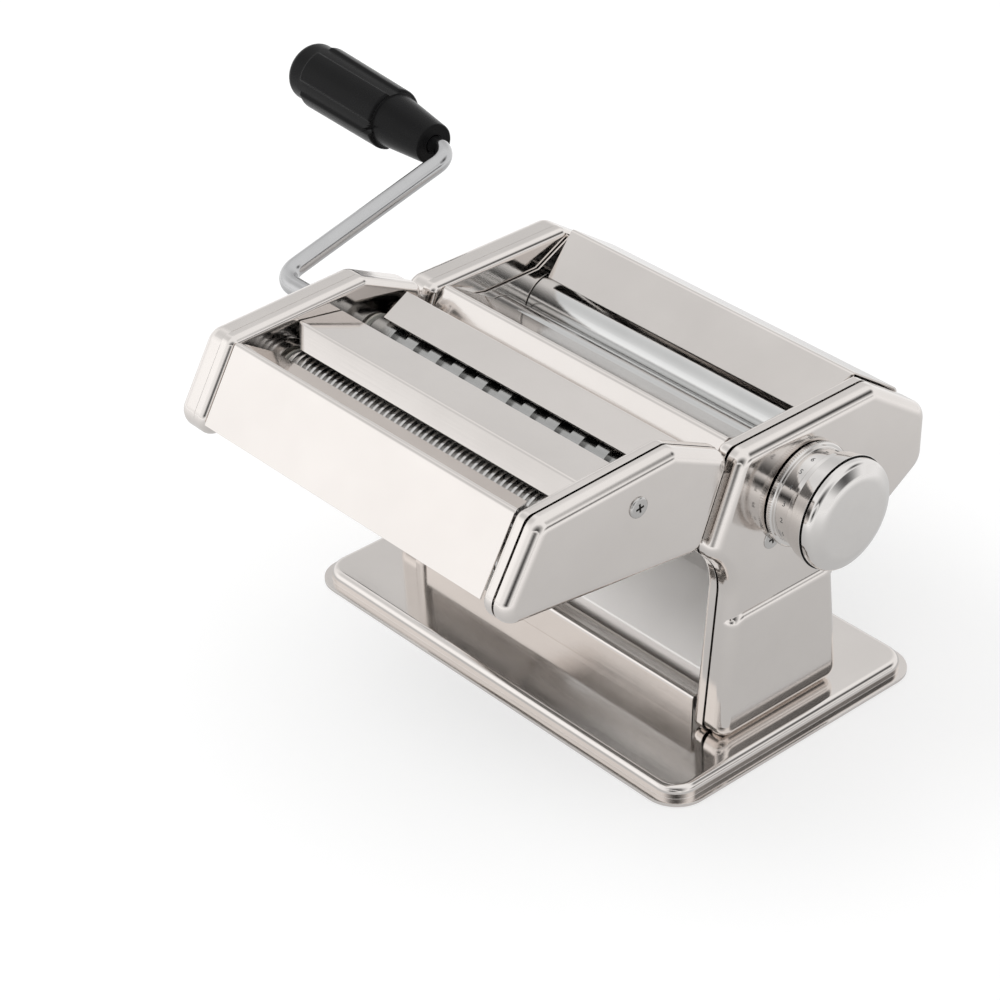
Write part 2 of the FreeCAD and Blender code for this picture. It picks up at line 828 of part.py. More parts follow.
def front_plinth():
    """Low upright sheet on the deck between the legs, folded back along its top."""
    half = cheek_face - hopper_end_gap
    path = [(plinth_y, deck_height, 0), (plinth_y, plinth_height, cover_bend),
            (plinth_y + plinth_fold, plinth_height, 0)]
    return bent_sheet(path, sheet, -half, half)


def clamp_bracket():
    """Angle on the deck between the legs with a collared hole for the table clamp."""
    half = cheek_face - hopper_end_gap
    foot_z = deck_height + sheet / 2.0
    path = [(bracket_y - bracket_foot, foot_z, 0), (bracket_y, foot_z, cover_bend),
            (bracket_y, bracket_height, 0)]
    shape = bent_sheet(path, sheet, -half, half)
    start = V(0, bracket_y - clamp_collar_length, clamp_hole_height)
    along = V(0, 1, 0)
    length = clamp_collar_length + sheet / 2.0
    collar = Part.makeCylinder(clamp_hole_radius + clamp_collar_wall, length, start, along)
    hole = Part.makeCylinder(clamp_hole_radius, length + sheet, start, along)
    return shape.fuse(collar).cut(hole).removeSplitter()


def rail_section(points, start, length):
    """Bar along the stands' front edge from a section of (x, off) points."""
    corners = []
    for x, off in points:
        y, z = track_point(start, off)
        corners.append(V(x, y, z))
    face = Part.Face(Part.makePolygon(corners + corners[:1]))
    return face.extrude(V(0, track_y, track_z) * length)


def guide_rail():
    """Right-hand T rail on the front edge of a stand."""
    web = rail_web / 2.0
    flange = rail_flange / 2.0
    top = rail_web_depth + rail_flange_depth
    points = [(-web, 0), (web, 0), (web, rail_web_depth), (flange, rail_web_depth), (flange, top),
              (-flange, top), (-flange, rail_web_depth), (-web, rail_web_depth)]
    return rail_section([(rail_centre + x, off) for x, off in points], rail_start, rail_length)


def slide_hook():
    """Right-hand hook of the cutter: a channel that wraps the T rail."""
    inner = rail_flange / 2.0 + hook_clearance
    outer = inner + hook_wall
    lip = rail_web / 2.0 + hook_clearance
    bed = rail_web_depth + rail_flange_depth + hook_clearance
    low = rail_web_depth - hook_clearance
    foot = low - hook_wall
    points = [(-outer, track_gap), (-outer, foot), (-lip, foot), (-lip, low), (-inner, low), (-inner, bed),
              (inner, bed), (inner, low), (lip, low), (lip, foot), (outer, foot), (outer, track_gap)]
    return rail_section([(rail_centre + x, off) for x, off in points], hook_start, hook_length)


def pair(make):
    """A right-hand piece and its left-hand twin."""
    shape = make()
    return Part.makeCompound([shape, mirrored(shape)])


def knob_start():
    """Foot of the knob, clear of the cover."""
    return cover_face + knob_gap


def knob_front():
    """Front face of the knob's drum, where the cap sits."""
    return knob_start() + knob_ring_width + knob_neck_length + knob_step_length + knob_drum_length


def knob_drum():
    """Hollow turned drum: knurled foot ring, neck, step and flared drum, on a hub over the shaft."""
    foot = knob_start()
    neck = foot + knob_ring_width
    step = neck + knob_neck_length
    flare = step + knob_step_length
    front = flare + knob_drum_length
    floor = front - knob_wall
    outer = [(foot, knob_ring_radius, 0), (neck, knob_ring_radius, 0), (neck, knob_neck_radius, 0),
             (step, knob_neck_radius, 0), (step, knob_step_radius, 0), (flare, knob_step_radius, 0),
             (flare, knob_drum_foot_radius, 0), (front, knob_drum_radius, 0)]
    bore = knob_shaft_radius + running_fit
    hollow = knob_neck_radius - knob_wall
    inner = [(front, 0, 0), (floor, 0, 0), (floor, bore, 0), (foot, bore, 0), (foot, knob_hub_radius, 0),
             (floor, knob_hub_radius, 0), (floor, hollow, 0), (foot, hollow, 0)]
    return turned(outer + inner, knob_axis_y, roller_height)


def knob_cap():
    """Domed cap on the front of the drum, with a fine groove behind its edge."""
    back = knob_front()
    front = back + knob_groove + knob_cap_length
    edge = back + knob_groove
    groove = knob_drum_radius - knob_groove
    corners = [(back, 0, 0), (back, groove, 0), (edge, groove, 0),
               (edge, knob_cap_radius, 0), (front, knob_cap_radius, knob_cap_round), (front, 0, 0)]
    return turned(corners, knob_axis_y, roller_height)


def index_plate():
    """Thin ring on the right-hand cover with a dimple for each setting."""
    top = cover_face + index_plate_sheet
    hole = journal_radius + shaft_clearance
    shape = ring(cover_face, top, knob_axis_y, roller_height, index_plate_radius, hole)
    for i in range(index_holes):
        angle = math.radians(index_first_angle + i * index_step)
        y = knob_axis_y + index_track_radius * math.cos(angle)
        z = roller_height + index_track_radius * math.sin(angle)
        shape = shape.cut(rod(cover_face, top, y, z, index_pin_radius))
    return shape


def index_pin():
    """Locating pin in the knob, its tip just off the index plate."""
    tip = cover_face + index_plate_sheet + running_fit
    floor = knob_front() - knob_wall
    return rod(tip, floor, knob_axis_y, roller_height + index_track_radius, index_pin_radius)


def cutter_plate():
    """Inner end plate of the cutter, as for the right-hand side, with its bush holes."""
    shape = pan(cutter_outline(), cheek_face, cheek_rim)
    for y in cutter_axes():
        seat = cutter_shaft_radius + bush_wall + running_fit
        shape = shape.cut(rod(cheek_face, cheek_rim, y, cutter_axis_z, seat))
    for y, z in cutter_rod_places():
        shape = shape.cut(rod(cheek_face, cheek_rim, y, z, cutter_rod_spigot + assembly_fit))
    return shape


def cutter_axes():
    """The four cutter rollers from front to back."""
    return [fine_front_y, fine_rear_y, wide_front_y, wide_rear_y]


def cutter_rod_places():
    """Tie rods of the cutter: under the front lip, and low between the two roller pairs."""
    upper = (upper_rod_y, cutter_axis_z + upper_rod_rise)
    return [upper, ((fine_rear_y + wide_front_y) / 2.0, cutter_axis_z - fine_radius)]


def cutter_right_cap():
    """Cap on the knob side with its screw hole."""
    shape = pan(softened(cutter_outline(), knob_side_corner), cap_face, cover_rim, knob_side_bend)
    hole = screw_shank_radius + assembly_fit
    return shape.cut(rod(cover_rim, cap_face, right_cap_screw_y, right_cap_screw_z, hole))


def cutter_left_cap():
    """Deeper cap over the gears, with its screw hole and the two crank holes."""
    rim = drive_cover_rim
    face = drive_cap_face
    shape = pan(softened(cutter_outline(), drive_corner), face, rim, drive_bend)
    hole = screw_shank_radius + assembly_fit
    shape = shape.cut(rod(rim, face, left_cap_screw_y, left_cap_screw_z, hole))
    for y in (fine_front_y, wide_rear_y):
        shape = shape.cut(rod(rim, face, y, cutter_axis_z, socket_opening))
    return mirrored(shape)


def cutter_tie_rods():
    """Rods that hold the cutter's end plates apart, riveted over behind them."""
    rods = []
    reach = cheek_face + sheet + cutter_rod_spigot
    for y, z in cutter_rod_places():
        bar = rod(-cheek_face, cheek_face, y, z, cutter_rod_radius)
        rods.append(bar.fuse(rod(-reach, reach, y, z, cutter_rod_spigot)).removeSplitter())
    return Part.makeCompound(rods)


def cap_post(face, y, z):
    """Threaded post on an end plate that takes the screw of the cap whose face is at face."""
    hole = screw_shank_radius + assembly_fit
    return ring(cheek_face + sheet, face - sheet, y, z, cap_post_radius, hole)


def cap_posts():
    """Posts of both caps; the left-hand one stands higher, clear of the gears."""
    right = cap_post(cap_face, right_cap_screw_y, right_cap_screw_z)
    left = cap_post(drive_cap_face, left_cap_screw_y, left_cap_screw_z)
    return Part.makeCompound([right, mirrored(left)])


def cap_screws():
    """One screw in each cutter cap."""
    right = pan_head_screw(cap_face, right_cap_screw_y, right_cap_screw_z)
    left = pan_head_screw(drive_cap_face, left_cap_screw_y, left_cap_screw_z)
    return Part.makeCompound([right, mirrored(left)])


def cutter_bushes():
    """Bushes of the four cutter rollers in both end plates."""
    bushes = []
    bore = cutter_shaft_radius + running_fit
    for y in cutter_axes():
        bush = ring(cheek_face - hopper_end_gap, cheek_face + sheet, y, cutter_axis_z, bore + bush_wall, bore)
        bushes += [bush, mirrored(bush)]
    return Part.makeCompound(bushes)


def polygon_bar(x_start, x_end, y, z, radius, sides):
    """Bar along X with flat sides."""
    points = []
    for i in range(sides):
        angle = math.radians(full_turn * (i + 0.5) / sides)
        points.append(V(x_start, y + radius * math.cos(angle), z + radius * math.sin(angle)))
    return Part.Face(Part.makePolygon(points + points[:1])).extrude(V(x_end - x_start, 0, 0))


def disc_places(pitch, offset):
    """Low ends of the discs of one cutter roller; the partner's discs stand half a pitch on."""
    count = int((2.0 * disc_zone - offset) // pitch)
    first = -disc_zone + offset
    return [first + i * pitch for i in range(count)]


def cutter_roller(y, radius, pitch, offset, left):
    """Core with a row of discs that run between the partner's discs; left is the end of its shaft."""
    core = radius - disc_overlap - core_clearance
    width = pitch / 2.0 - 2.0 * disc_side_clearance
    shape = polygon_bar(-core_end, core_end, y, cutter_axis_z, core, core_sides)
    discs = []
    for x in disc_places(pitch, offset):
        discs.append(polygon_bar(x, x + width, y, cutter_axis_z, radius, disc_sides))
    shaft = rod(-left, cheek_rim - shaft_clearance, y, cutter_axis_z, cutter_shaft_radius)
    return shape.fuse(discs + [shaft])


def wide_rear_roller():
    """Wide rear roller; the crank sits in its left-hand end."""
    shape = cutter_roller(wide_rear_y, wide_radius, wide_pitch, wide_pitch / 2.0, drive_end)
    return socketed(shape, wide_rear_y, cutter_axis_z)


def fine_drive_stub():
    """Left-hand stub shaft of the fine front roller, with the crank's socket."""
    stub = rod(-drive_end, -core_end, fine_front_y, cutter_axis_z, cutter_shaft_radius)
    return socketed(stub, fine_front_y, cutter_axis_z)


def comb(axis_y, radius, pitch, offset, angle):
    """Stripping comb under a cutter roller: one tooth in each gap between discs."""
    core = radius - disc_overlap - core_clearance
    groove_start = pitch / 2.0 - 2.0 * disc_side_clearance
    tooth = pitch - groove_start - 2.0 * comb_side_clearance
    out = V(0, math.cos(math.radians(angle)), math.sin(math.radians(angle)))
    tip = core + comb_point_gap
    back = radius + comb_point_gap
    end = cheek_face - comb_end_gap
    flat = [(-end, back + comb_depth), (-end, back)]
    for x in disc_places(pitch, offset)[:-1]:
        start = x + groove_start + comb_side_clearance
        flat += [(start, back), (start, tip), (start + tooth, tip), (start + tooth, back)]
    flat += [(end, back), (end, back + comb_depth)]
    centre = V(0, axis_y, cutter_axis_z)
    across = V(1, 0, 0).cross(out) * comb_sheet
    points = [centre + V(x, 0, 0) + out * r - across / 2.0 for x, r in flat]
    return Part.Face(Part.makePolygon(points + points[:1])).extrude(across)


def cutter_gear(y, distance, phase):
    """Gear of a cutter roller, on its left-hand end."""
    tip = distance / 2.0 + cutter_tooth_height / 2.0 - gear_tip_clearance / 2.0
    root = tip - cutter_tooth_height - gear_tip_clearance / 2.0
    return gear(-gear_start - gear_width, y, cutter_axis_z, cutter_gear_teeth, tip, root,
                cutter_tooth_root, cutter_tooth_tip, cutter_shaft_radius, phase)


def front_edge(z):
    """Point at height z on the front cover, which lies just inside the end plates' front edges."""
    slope = (cutter_front - cutter_toe) / (cutter_front_z - cutter_toe_z)
    inset = front_cover_inset * math.hypot(1.0, slope)
    return cutter_toe + (z - cutter_toe_z) * slope + inset, z


def cutter_front_cover():
    """Front cover: the sloping front and a lip folded in towards the fine rollers."""
    half = cheek_face - cover_end_gap
    bottom = front_edge(cutter_axis_z - front_cover_drop)
    top = front_edge(cutter_axis_z + front_cover_rise)
    lip = (front_lip_y, cutter_axis_z + front_lip_rise)
    path = [(*bottom, 0), (*top, cover_bend), (*lip, 0)]
    return trimmed_ends(bent_sheet(path, sheet, -half, half), half, top, lip, cover_inset)


def cutter_middle_cover():
    """Middle cover: a ridged roof between the two cutter slots."""
    half = cheek_face - cover_end_gap
    front = (middle_front_y, cutter_axis_z + middle_front_rise)
    ridge = (middle_ridge_y, cutter_axis_z + middle_ridge_rise)
    rear = (middle_rear_y, cutter_axis_z + middle_rear_rise)
    path = [(*front, 0), (*ridge, cover_bend), (*rear, 0)]
    return trimmed_ends(bent_sheet(path, sheet, -half, half), half, ridge, front, cover_inset)


def cutter_rear_cover():
    """Rear cover: the roof behind the wide slot, folded down along its back."""
    half = cheek_face - cover_end_gap
    front = (rear_cover_front_y, cutter_axis_z + rear_cover_front_rise)
    back = (rear_cover_back_y, cutter_axis_z + rear_cover_back_rise)
    skirt = (rear_skirt_y, cutter_axis_z - rear_skirt_drop)
    path = [(*front, 0), (*back, cover_bend), (*skirt, 0)]
    return trimmed_ends(bent_sheet(path, sheet, -half, half), half, back, front, cover_inset)


def leaning(shape):
    """Turns a piece on the crank's spindle with it: the wrist is bent a little short of square."""
    wrist = V(-crank_arm_x, grip_y, grip_z)
    shape.rotate(wrist, V(0, crank_arm_z, -crank_arm_y), crank_wrist_lean)
    return shape


def crank_rod():
    """Bent steel rod: shank with two drive ears, arm, and the spindle of the grip."""
    lean = math.radians(crank_wrist_lean)
    out = V(-1, 0, 0)
    arm = V(0, crank_arm_y, crank_arm_z)
    spindle = out * math.cos(lean) + arm * math.sin(lean)
    start = V(-drive_end + socket_depth - crank_end_gap, wide_rear_y, cutter_axis_z)
    elbow = V(-crank_arm_x, wide_rear_y, cutter_axis_z)
    wrist = V(-crank_arm_x, grip_y, grip_z)
    end = wrist + spindle * (grip_start + grip_length + rivet_height)
    elbow_arc = corner_arc(elbow, out, arm, crank_bend)
    wrist_arc = corner_arc(wrist, arm, spindle, crank_bend)
    path = Part.Wire([
        Part.LineSegment(start, elbow_arc[0]).toShape(),
        Part.Arc(*elbow_arc).toShape(),
        Part.LineSegment(elbow_arc[2], wrist_arc[0]).toShape(),
        Part.Arc(*wrist_arc).toShape(),
        Part.LineSegment(wrist_arc[2], end).toShape(),
    ])
    section = Part.Wire([Part.makeCircle(crank_rod_radius, start, out)])
    shape = path.makePipeShell([section], True, False)
    corner = start - V(0, crank_ear_reach, crank_ear_width / 2.0)
    corner.x = -drive_end + crank_ear_inset
    ears = Part.makeBox(crank_ear_length, crank_ear_reach * 2.0, crank_ear_width, corner)
    return shape.fuse(ears).removeSplitter()


def crank_grip():
    """Moulded grip that turns on the rod: cone nose, shoulder, and a body with raised panels."""
    x = -crank_arm_x - grip_start
    shoulder = x - grip_nose_length
    end = x - grip_length
    bore = crank_rod_radius + grip_fit
    corners = [(x, bore, 0), (x, grip_nose_radius, grip_nose_round), (shoulder, grip_shoulder_radius, 0),
               (shoulder, grip_body_radius, grip_shoulder_round),
               (end, grip_end_radius, grip_end_round), (end, bore, 0)]
    body = turned(corners, grip_y, grip_z)
    panel_start = shoulder - grip_panel_inset
    panel_end = end + grip_panel_margin
    top = grip_body_radius + grip_panel_rise
    end_top = grip_end_radius + grip_panel_rise
    outer = [(panel_start, grip_nose_radius, 0), (panel_start, top, grip_panel_rise),
             (panel_end, end_top, grip_panel_rise), (panel_end, grip_nose_radius, 0)]
    swell = turned(outer, grip_y, grip_z)
    for i in range(grip_panels):
        corner = V(end, grip_y - grip_panel_width / 2.0, grip_z)
        bar = Part.makeBox(grip_length, grip_panel_width, top * 2.0, corner)
        bar.rotate(V(0, grip_y, grip_z), V(1, 0, 0), grip_panel_turn + full_turn * i / grip_panels)
        body = body.fuse(bar.common(swell))
    return leaning(body.removeSplitter())


def grip_rivet():
    """Washer riveted on the end of the rod; it keeps the grip on."""
    x = -crank_arm_x - grip_start - grip_length
    return leaning(ring(x - rivet_height, x - running_fit, grip_y, grip_z, rivet_radius, crank_rod_radius))


pieces = {
    "base_pan": base_pan(),
    "base_screws": base_screws(),
    "rubber_feet": rubber_feet(),
    "right_inner_cheek": right_inner_cheek(),
    "left_inner_cheek": left_inner_cheek(),
    "right_outer_cover": right_outer_cover(),
    "left_outer_cover": left_outer_cover(),
    "tie_rods": tie_rods(),
    "cover_screws": cover_screws(),
    "rear_roller": rear_roller(),
    "rear_roller_gear": roller_gear(rear_roller_y, roller_shaft_radius, meshing_phase),
    "rear_roller_bushes": rear_roller_bushes(),
    "front_roller": front_roller(),
    "front_roller_gear": roller_gear(front_roller_y, neck_radius, 0.0),
    "front_roller_sleeves": front_roller_sleeves(),
    "eccentric_shaft": eccentric_shaft(),
    "eccentric_bushes": eccentric_bushes(),
    "rear_hopper_sheet": rear_hopper_sheet(),
    "front_hopper_bar": front_hopper_bar(),
    "right_end_guard": end_guard(),
    "left_end_guard": mirrored(end_guard()),
    "front_scraper": scraper(knob_axis_y, roller_radius + eccentric, front_scraper_angle),
    "rear_scraper": scraper(rear_roller_y, roller_radius, rear_scraper_angle),
    "chute_sheet": chute_sheet(),
    "front_plinth": front_plinth(),
    "clamp_bracket": clamp_bracket(),
    "guide_rails": pair(guide_rail),
    "knob_drum": knob_drum(),
    "knob_cap": knob_cap(),
    "index_plate": index_plate(),
    "index_pin": index_pin(),
    "cutter_right_plate": cutter_plate(),
    "cutter_left_plate": mirrored(cutter_plate()),
    "cutter_right_cap": cutter_right_cap(),
    "cutter_left_cap": cutter_left_cap(),
    "cutter_tie_rods": cutter_tie_rods(),
    "cap_posts": cap_posts(),
    "cap_screws": cap_screws(),
    "cutter_bushes": cutter_bushes(),
    "slide_hooks": pair(slide_hook),
    "cutter_front_cover": cutter_front_cover(),
    "cutter_middle_cover": cutter_middle_cover(),
    "cutter_rear_cover": cutter_rear_cover(),
    "fine_front_roller": cutter_roller(fine_front_y, fine_radius, fine_pitch, 0.0, core_end),
    "fine_drive_stub": fine_drive_stub(),
    "fine_rear_roller": cutter_roller(fine_rear_y, fine_radius, fine_pitch, fine_pitch / 2.0, plain_end),
    "wide_front_roller": cutter_roller(wide_front_y, wide_radius, wide_pitch, 0.0, plain_end),
    "wide_rear_roller": wide_rear_roller(),
    "fine_front_gear": cutter_gear(fine_front_y, fine_distance, 0.0),
    "fine_rear_gear": cutter_gear(fine_rear_y, fine_distance, meshing_phase),
    "wide_front_gear": cutter_gear(wide_front_y, wide_distance, 0.0),
    "wide_rear_gear": cutter_gear(wide_rear_y, wide_distance, meshing_phase),
    "fine_front_comb": comb(fine_front_y, fine_radius, fine_pitch, 0.0, front_comb_angle),
    "fine_rear_comb": comb(fine_rear_y, fine_radius, fine_pitch, fine_pitch / 2.0, rear_comb_angle),
    "wide_front_comb": comb(wide_front_y, wide_radius, wide_pitch, 0.0, front_comb_angle),
    "wide_rear_comb": comb(wide_rear_y, wide_radius, wide_pitch, wide_pitch / 2.0, rear_comb_angle),
    "crank_rod": crank_rod(),
    "crank_grip": crank_grip(),
    "grip_rivet": grip_rivet(),
}

os.makedirs("parts", exist_ok=True)
for name, shape in pieces.items():
    shape.exportStep(os.path.join("parts", name + ".step"))
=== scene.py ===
import bmesh
import bpy
import json
import math
from mathutils import Matrix, Vector

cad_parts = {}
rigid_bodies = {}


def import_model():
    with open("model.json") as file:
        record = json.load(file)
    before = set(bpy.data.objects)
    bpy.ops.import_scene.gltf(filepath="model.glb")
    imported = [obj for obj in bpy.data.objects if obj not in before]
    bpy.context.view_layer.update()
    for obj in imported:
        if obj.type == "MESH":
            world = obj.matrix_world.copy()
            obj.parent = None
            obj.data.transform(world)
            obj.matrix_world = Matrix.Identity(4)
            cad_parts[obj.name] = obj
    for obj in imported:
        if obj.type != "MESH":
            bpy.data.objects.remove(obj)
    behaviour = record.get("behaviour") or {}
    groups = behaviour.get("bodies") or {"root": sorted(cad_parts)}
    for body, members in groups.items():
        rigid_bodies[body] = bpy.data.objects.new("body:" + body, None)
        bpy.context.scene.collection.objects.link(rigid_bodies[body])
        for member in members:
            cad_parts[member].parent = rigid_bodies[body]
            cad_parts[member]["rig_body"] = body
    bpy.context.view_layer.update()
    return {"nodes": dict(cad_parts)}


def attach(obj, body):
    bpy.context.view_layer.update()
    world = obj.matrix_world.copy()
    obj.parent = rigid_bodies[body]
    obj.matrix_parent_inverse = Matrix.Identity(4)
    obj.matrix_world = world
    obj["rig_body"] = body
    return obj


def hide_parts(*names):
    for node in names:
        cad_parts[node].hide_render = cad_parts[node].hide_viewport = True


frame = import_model()

# Base pan: one low pressing of mirror-polished stainless sheet with a flat lip all round.
# The two inner cheeks are screwed to its deck from below, and four rubber feet sit under it.
mm = 0.001


def node_of(tree, kind, **settings):
    """Adds a node and sets its properties and its inputs, which are named with capital letters."""
    node = tree.nodes.new(kind)
    for name, value in settings.items():
        if name[0].isupper():
            node.inputs[name.replace("_", " ")].default_value = value
        else:
            setattr(node, name, value)
    return node


def make_surface_marks():
    """Tool lines, handling smudges and the slow waviness of a worked surface."""
    tree = bpy.data.node_groups.new("surface_marks", "ShaderNodeTree")
    for label, kind, default in (("Lines", "NodeSocketVector", None), ("Place", "NodeSocketVector", None),
                                 ("Smudge Scale", "NodeSocketFloat", 30.0), ("Wave Scale", "NodeSocketFloat", 22.0),
                                 ("Low", "NodeSocketFloat", 0.08), ("High", "NodeSocketFloat", 0.2),
                                 ("Wave Share", "NodeSocketFloat", 0.9)):
        socket = tree.interface.new_socket(label, in_out="INPUT", socket_type=kind)
        if default is not None:
            socket.default_value = default
    for label in ("Roughness", "Height", "Tone"):
        tree.interface.new_socket(label, in_out="OUTPUT", socket_type="NodeSocketFloat")
    start = tree.nodes.new("NodeGroupInput")
    end = tree.nodes.new("NodeGroupOutput")
    lines = node_of(tree, "ShaderNodeTexNoise", Scale=1.0, Detail=3.0, Roughness=0.6)
    smudge = node_of(tree, "ShaderNodeTexNoise", Detail=5.0, Roughness=0.62)
    wave = node_of(tree, "ShaderNodeTexNoise", Detail=1.0, Roughness=0.4)
    blend = node_of(tree, "ShaderNodeMix", data_type="FLOAT", Factor=0.35)
    spread = node_of(tree, "ShaderNodeMapRange", From_Min=0.32, From_Max=0.68)
    height = node_of(tree, "ShaderNodeMix", data_type="FLOAT")
    link = tree.links.new
    link(start.outputs["Lines"], lines.inputs["Vector"])
    link(start.outputs["Place"], smudge.inputs["Vector"])
    link(start.outputs["Place"], wave.inputs["Vector"])
    link(start.outputs["Smudge Scale"], smudge.inputs["Scale"])
    link(start.outputs["Wave Scale"], wave.inputs["Scale"])
    link(smudge.outputs["Fac"], blend.inputs["A"])
    link(lines.outputs["Fac"], blend.inputs["B"])
    link(blend.outputs["Result"], spread.inputs["Value"])
    link(start.outputs["Low"], spread.inputs["To Min"])
    link(start.outputs["High"], spread.inputs["To Max"])
    link(spread.outputs["Result"], end.inputs["Roughness"])
    link(start.outputs["Wave Share"], height.inputs["Factor"])
    link(lines.outputs["Fac"], height.inputs["A"])
    link(wave.outputs["Fac"], height.inputs["B"])
    link(height.outputs["Result"], end.inputs["Height"])
    link(smudge.outputs["Fac"], end.inputs["Tone"])
    return tree


surface_marks = make_surface_marks()


def worked_surface(name, dark, light, rough, lines, depth, wave_share=0.9, smudge=30.0, wave=18.0, metal=1.0,
                   bending=1.5):
    """Finish from two tones, a roughness range, the stretch of its tool lines and the depth of its relief."""
    material = bpy.data.materials.new(name)
    material.use_nodes = True
    tree = material.node_tree
    shader = tree.nodes["Principled BSDF"]
    shader.inputs["Metallic"].default_value = metal
    shader.inputs["IOR"].default_value = bending
    place = node_of(tree, "ShaderNodeTexCoord")
    stretch = node_of(tree, "ShaderNodeMapping", Scale=lines)
    marks = node_of(tree, "ShaderNodeGroup", node_tree=surface_marks)
    for label, value in (("Smudge Scale", smudge), ("Wave Scale", wave), ("Low", rough[0]), ("High", rough[1]),
                         ("Wave Share", wave_share)):
        marks.inputs[label].default_value = value
    tone = node_of(tree, "ShaderNodeMix", data_type="RGBA")
    tone.inputs["A"].default_value = (*dark, 1.0)
    tone.inputs["B"].default_value = (*light, 1.0)
    bump = node_of(tree, "ShaderNodeBump", Strength=1.0, Distance=depth)
    link = tree.links.new
    link(place.outputs["Object"], stretch.inputs["Vector"])
    link(stretch.outputs["Vector"], marks.inputs["Lines"])
    link(place.outputs["Object"], marks.inputs["Place"])
    link(marks.outputs["Tone"], tone.inputs["Factor"])
    link(tone.outputs["Result"], shader.inputs["Base Color"])
    link(marks.outputs["Roughness"], shader.inputs["Roughness"])
    link(marks.outputs["Height"], bump.inputs["Height"])
    link(bump.outputs["Normal"], shader.inputs["Normal"])
    return material


polished_stainless = worked_surface("polished_stainless", (0.74, 0.70, 0.672), (0.83, 0.79, 0.76), (0.06, 0.14),
                                    (30.0, 1400.0, 1400.0), 0.00008)
edge_ease = 0.12 * mm


def settle(piece, node):
    """Smooths a finished piece with flat faces kept flat, and puts it in place of its solid."""
    for polygon in piece.data.polygons:
        polygon.use_smooth = True
    piece.data.set_sharp_from_angle(angle=math.radians(50.0))
    steady = piece.modifiers.new("flat_faces_stay_flat", "WEIGHTED_NORMAL")
    steady.weight = 100
    steady.keep_sharp = True
    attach(piece, frame["nodes"][node]["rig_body"])
    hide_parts(node)


def new_piece(name, mesh, material):
    """Object at the origin for a mesh that is already in its place."""
    mesh.materials.clear()
    mesh.materials.append(material)
    piece = bpy.data.objects.new(name, mesh)
    bpy.context.scene.collection.objects.link(piece)
    return piece


def finished_copy(node, material, ease=edge_ease, creases=None, crease_ease=0.0, rim=None, rim_seat=0.0):
    """Merged copy of a solid with its raw edges eased, and those that creases picks eased more.
    The rim at x = rim, where there is one, is pressed shut to rim_seat and stays sharp."""
    raw_angle = math.radians(32.0)
    work = bmesh.new()
    work.from_mesh(frame["nodes"][node].data)
    bmesh.ops.remove_doubles(work, verts=work.verts, dist=1e-6)
    bmesh.ops.dissolve_limit(work, angle_limit=math.radians(0.2), verts=work.verts, edges=work.edges)
    seated = set()
    for vert in work.verts:
        if rim is not None and abs(vert.co.x - rim) < 0.01 * mm:
            vert.co.x = rim_seat
            seated.add(vert)
    hard = [e for e in work.edges if e.is_manifold and e.calc_face_angle() > raw_angle
            and not (e.verts[0] in seated and e.verts[1] in seated)]
    if creases:
        soft = [e for e in hard if creases(e)]
        hard = [e for e in hard if not creases(e)]
        bmesh.ops.bevel(work, geom=soft, offset=crease_ease, segments=4, profile=0.5, affect="EDGES")
        hard = [e for e in hard if e.is_valid]
    bmesh.ops.bevel(work, geom=hard, offset=ease, segments=2, profile=0.5, affect="EDGES")
    mesh = bpy.data.meshes.new(node + "_finished")
    work.to_mesh(mesh)
    work.free()
    piece = new_piece(node + "_finished", mesh, material)
    settle(piece, node)
    return piece


def dress(material, *nodes):
    """Gives solids that stay as they are their finish."""
    for name in nodes:
        frame["nodes"][name].material_slots[0].material = material


screw_plate = worked_surface("nickel_plate", (0.50, 0.49, 0.48), (0.66, 0.65, 0.64), (0.14, 0.3),
                             (900.0, 900.0, 900.0), 0.00003, 0.4)
foot_rubber = worked_surface("foot_rubber", (0.02, 0.02, 0.021), (0.045, 0.045, 0.046), (0.6, 0.85),
                             (900.0, 900.0, 900.0), 0.00005, 0.12, metal=0.0)
finished_copy("base_pan", polished_stainless)
dress(screw_plate, "base_screws")
dress(foot_rubber, "rubber_feet")

# Side stands: each is an inner cheek and an outer cover, two deep-drawn pans of polished sheet.
# Tie rods hold the cheeks apart, and one cross-head screw holds each cover on a rod's end.
# The leg panel is stepped out below a soft pressed crease.
crease_height = 64.0 * mm
crease_band = 4.5 * mm
crease_ease = 0.5 * mm


def leg_crease(edge):
    """The level edge where the leg panel steps out of the cover."""
    ends = [v.co for v in edge.verts]
    face = max(abs(v.x) for v in ends)
    return face > 0.0905 and all(abs(v.z - crease_height) < crease_band for v in ends) and abs(ends[0].y - ends[1].y) > 2 * mm


plain_steel = worked_surface("plain_steel", (0.30, 0.30, 0.31), (0.46, 0.46, 0.47), (0.25, 0.5),
                             (60.0, 900.0, 900.0), 0.00005, 0.5)
for side in ("right", "left"):
    finished_copy(side + "_inner_cheek", polished_stainless)
drive_rim, drive_rim_seat = -82.9 * mm, -82.62 * mm
finished_copy("right_outer_cover", polished_stainless, creases=leg_crease, crease_ease=crease_ease)
finished_copy("left_outer_cover", polished_stainless, creases=leg_crease, crease_ease=crease_ease,
              rim=drive_rim, rim_seat=drive_rim_seat)
finished_copy("tie_rods", plain_steel)


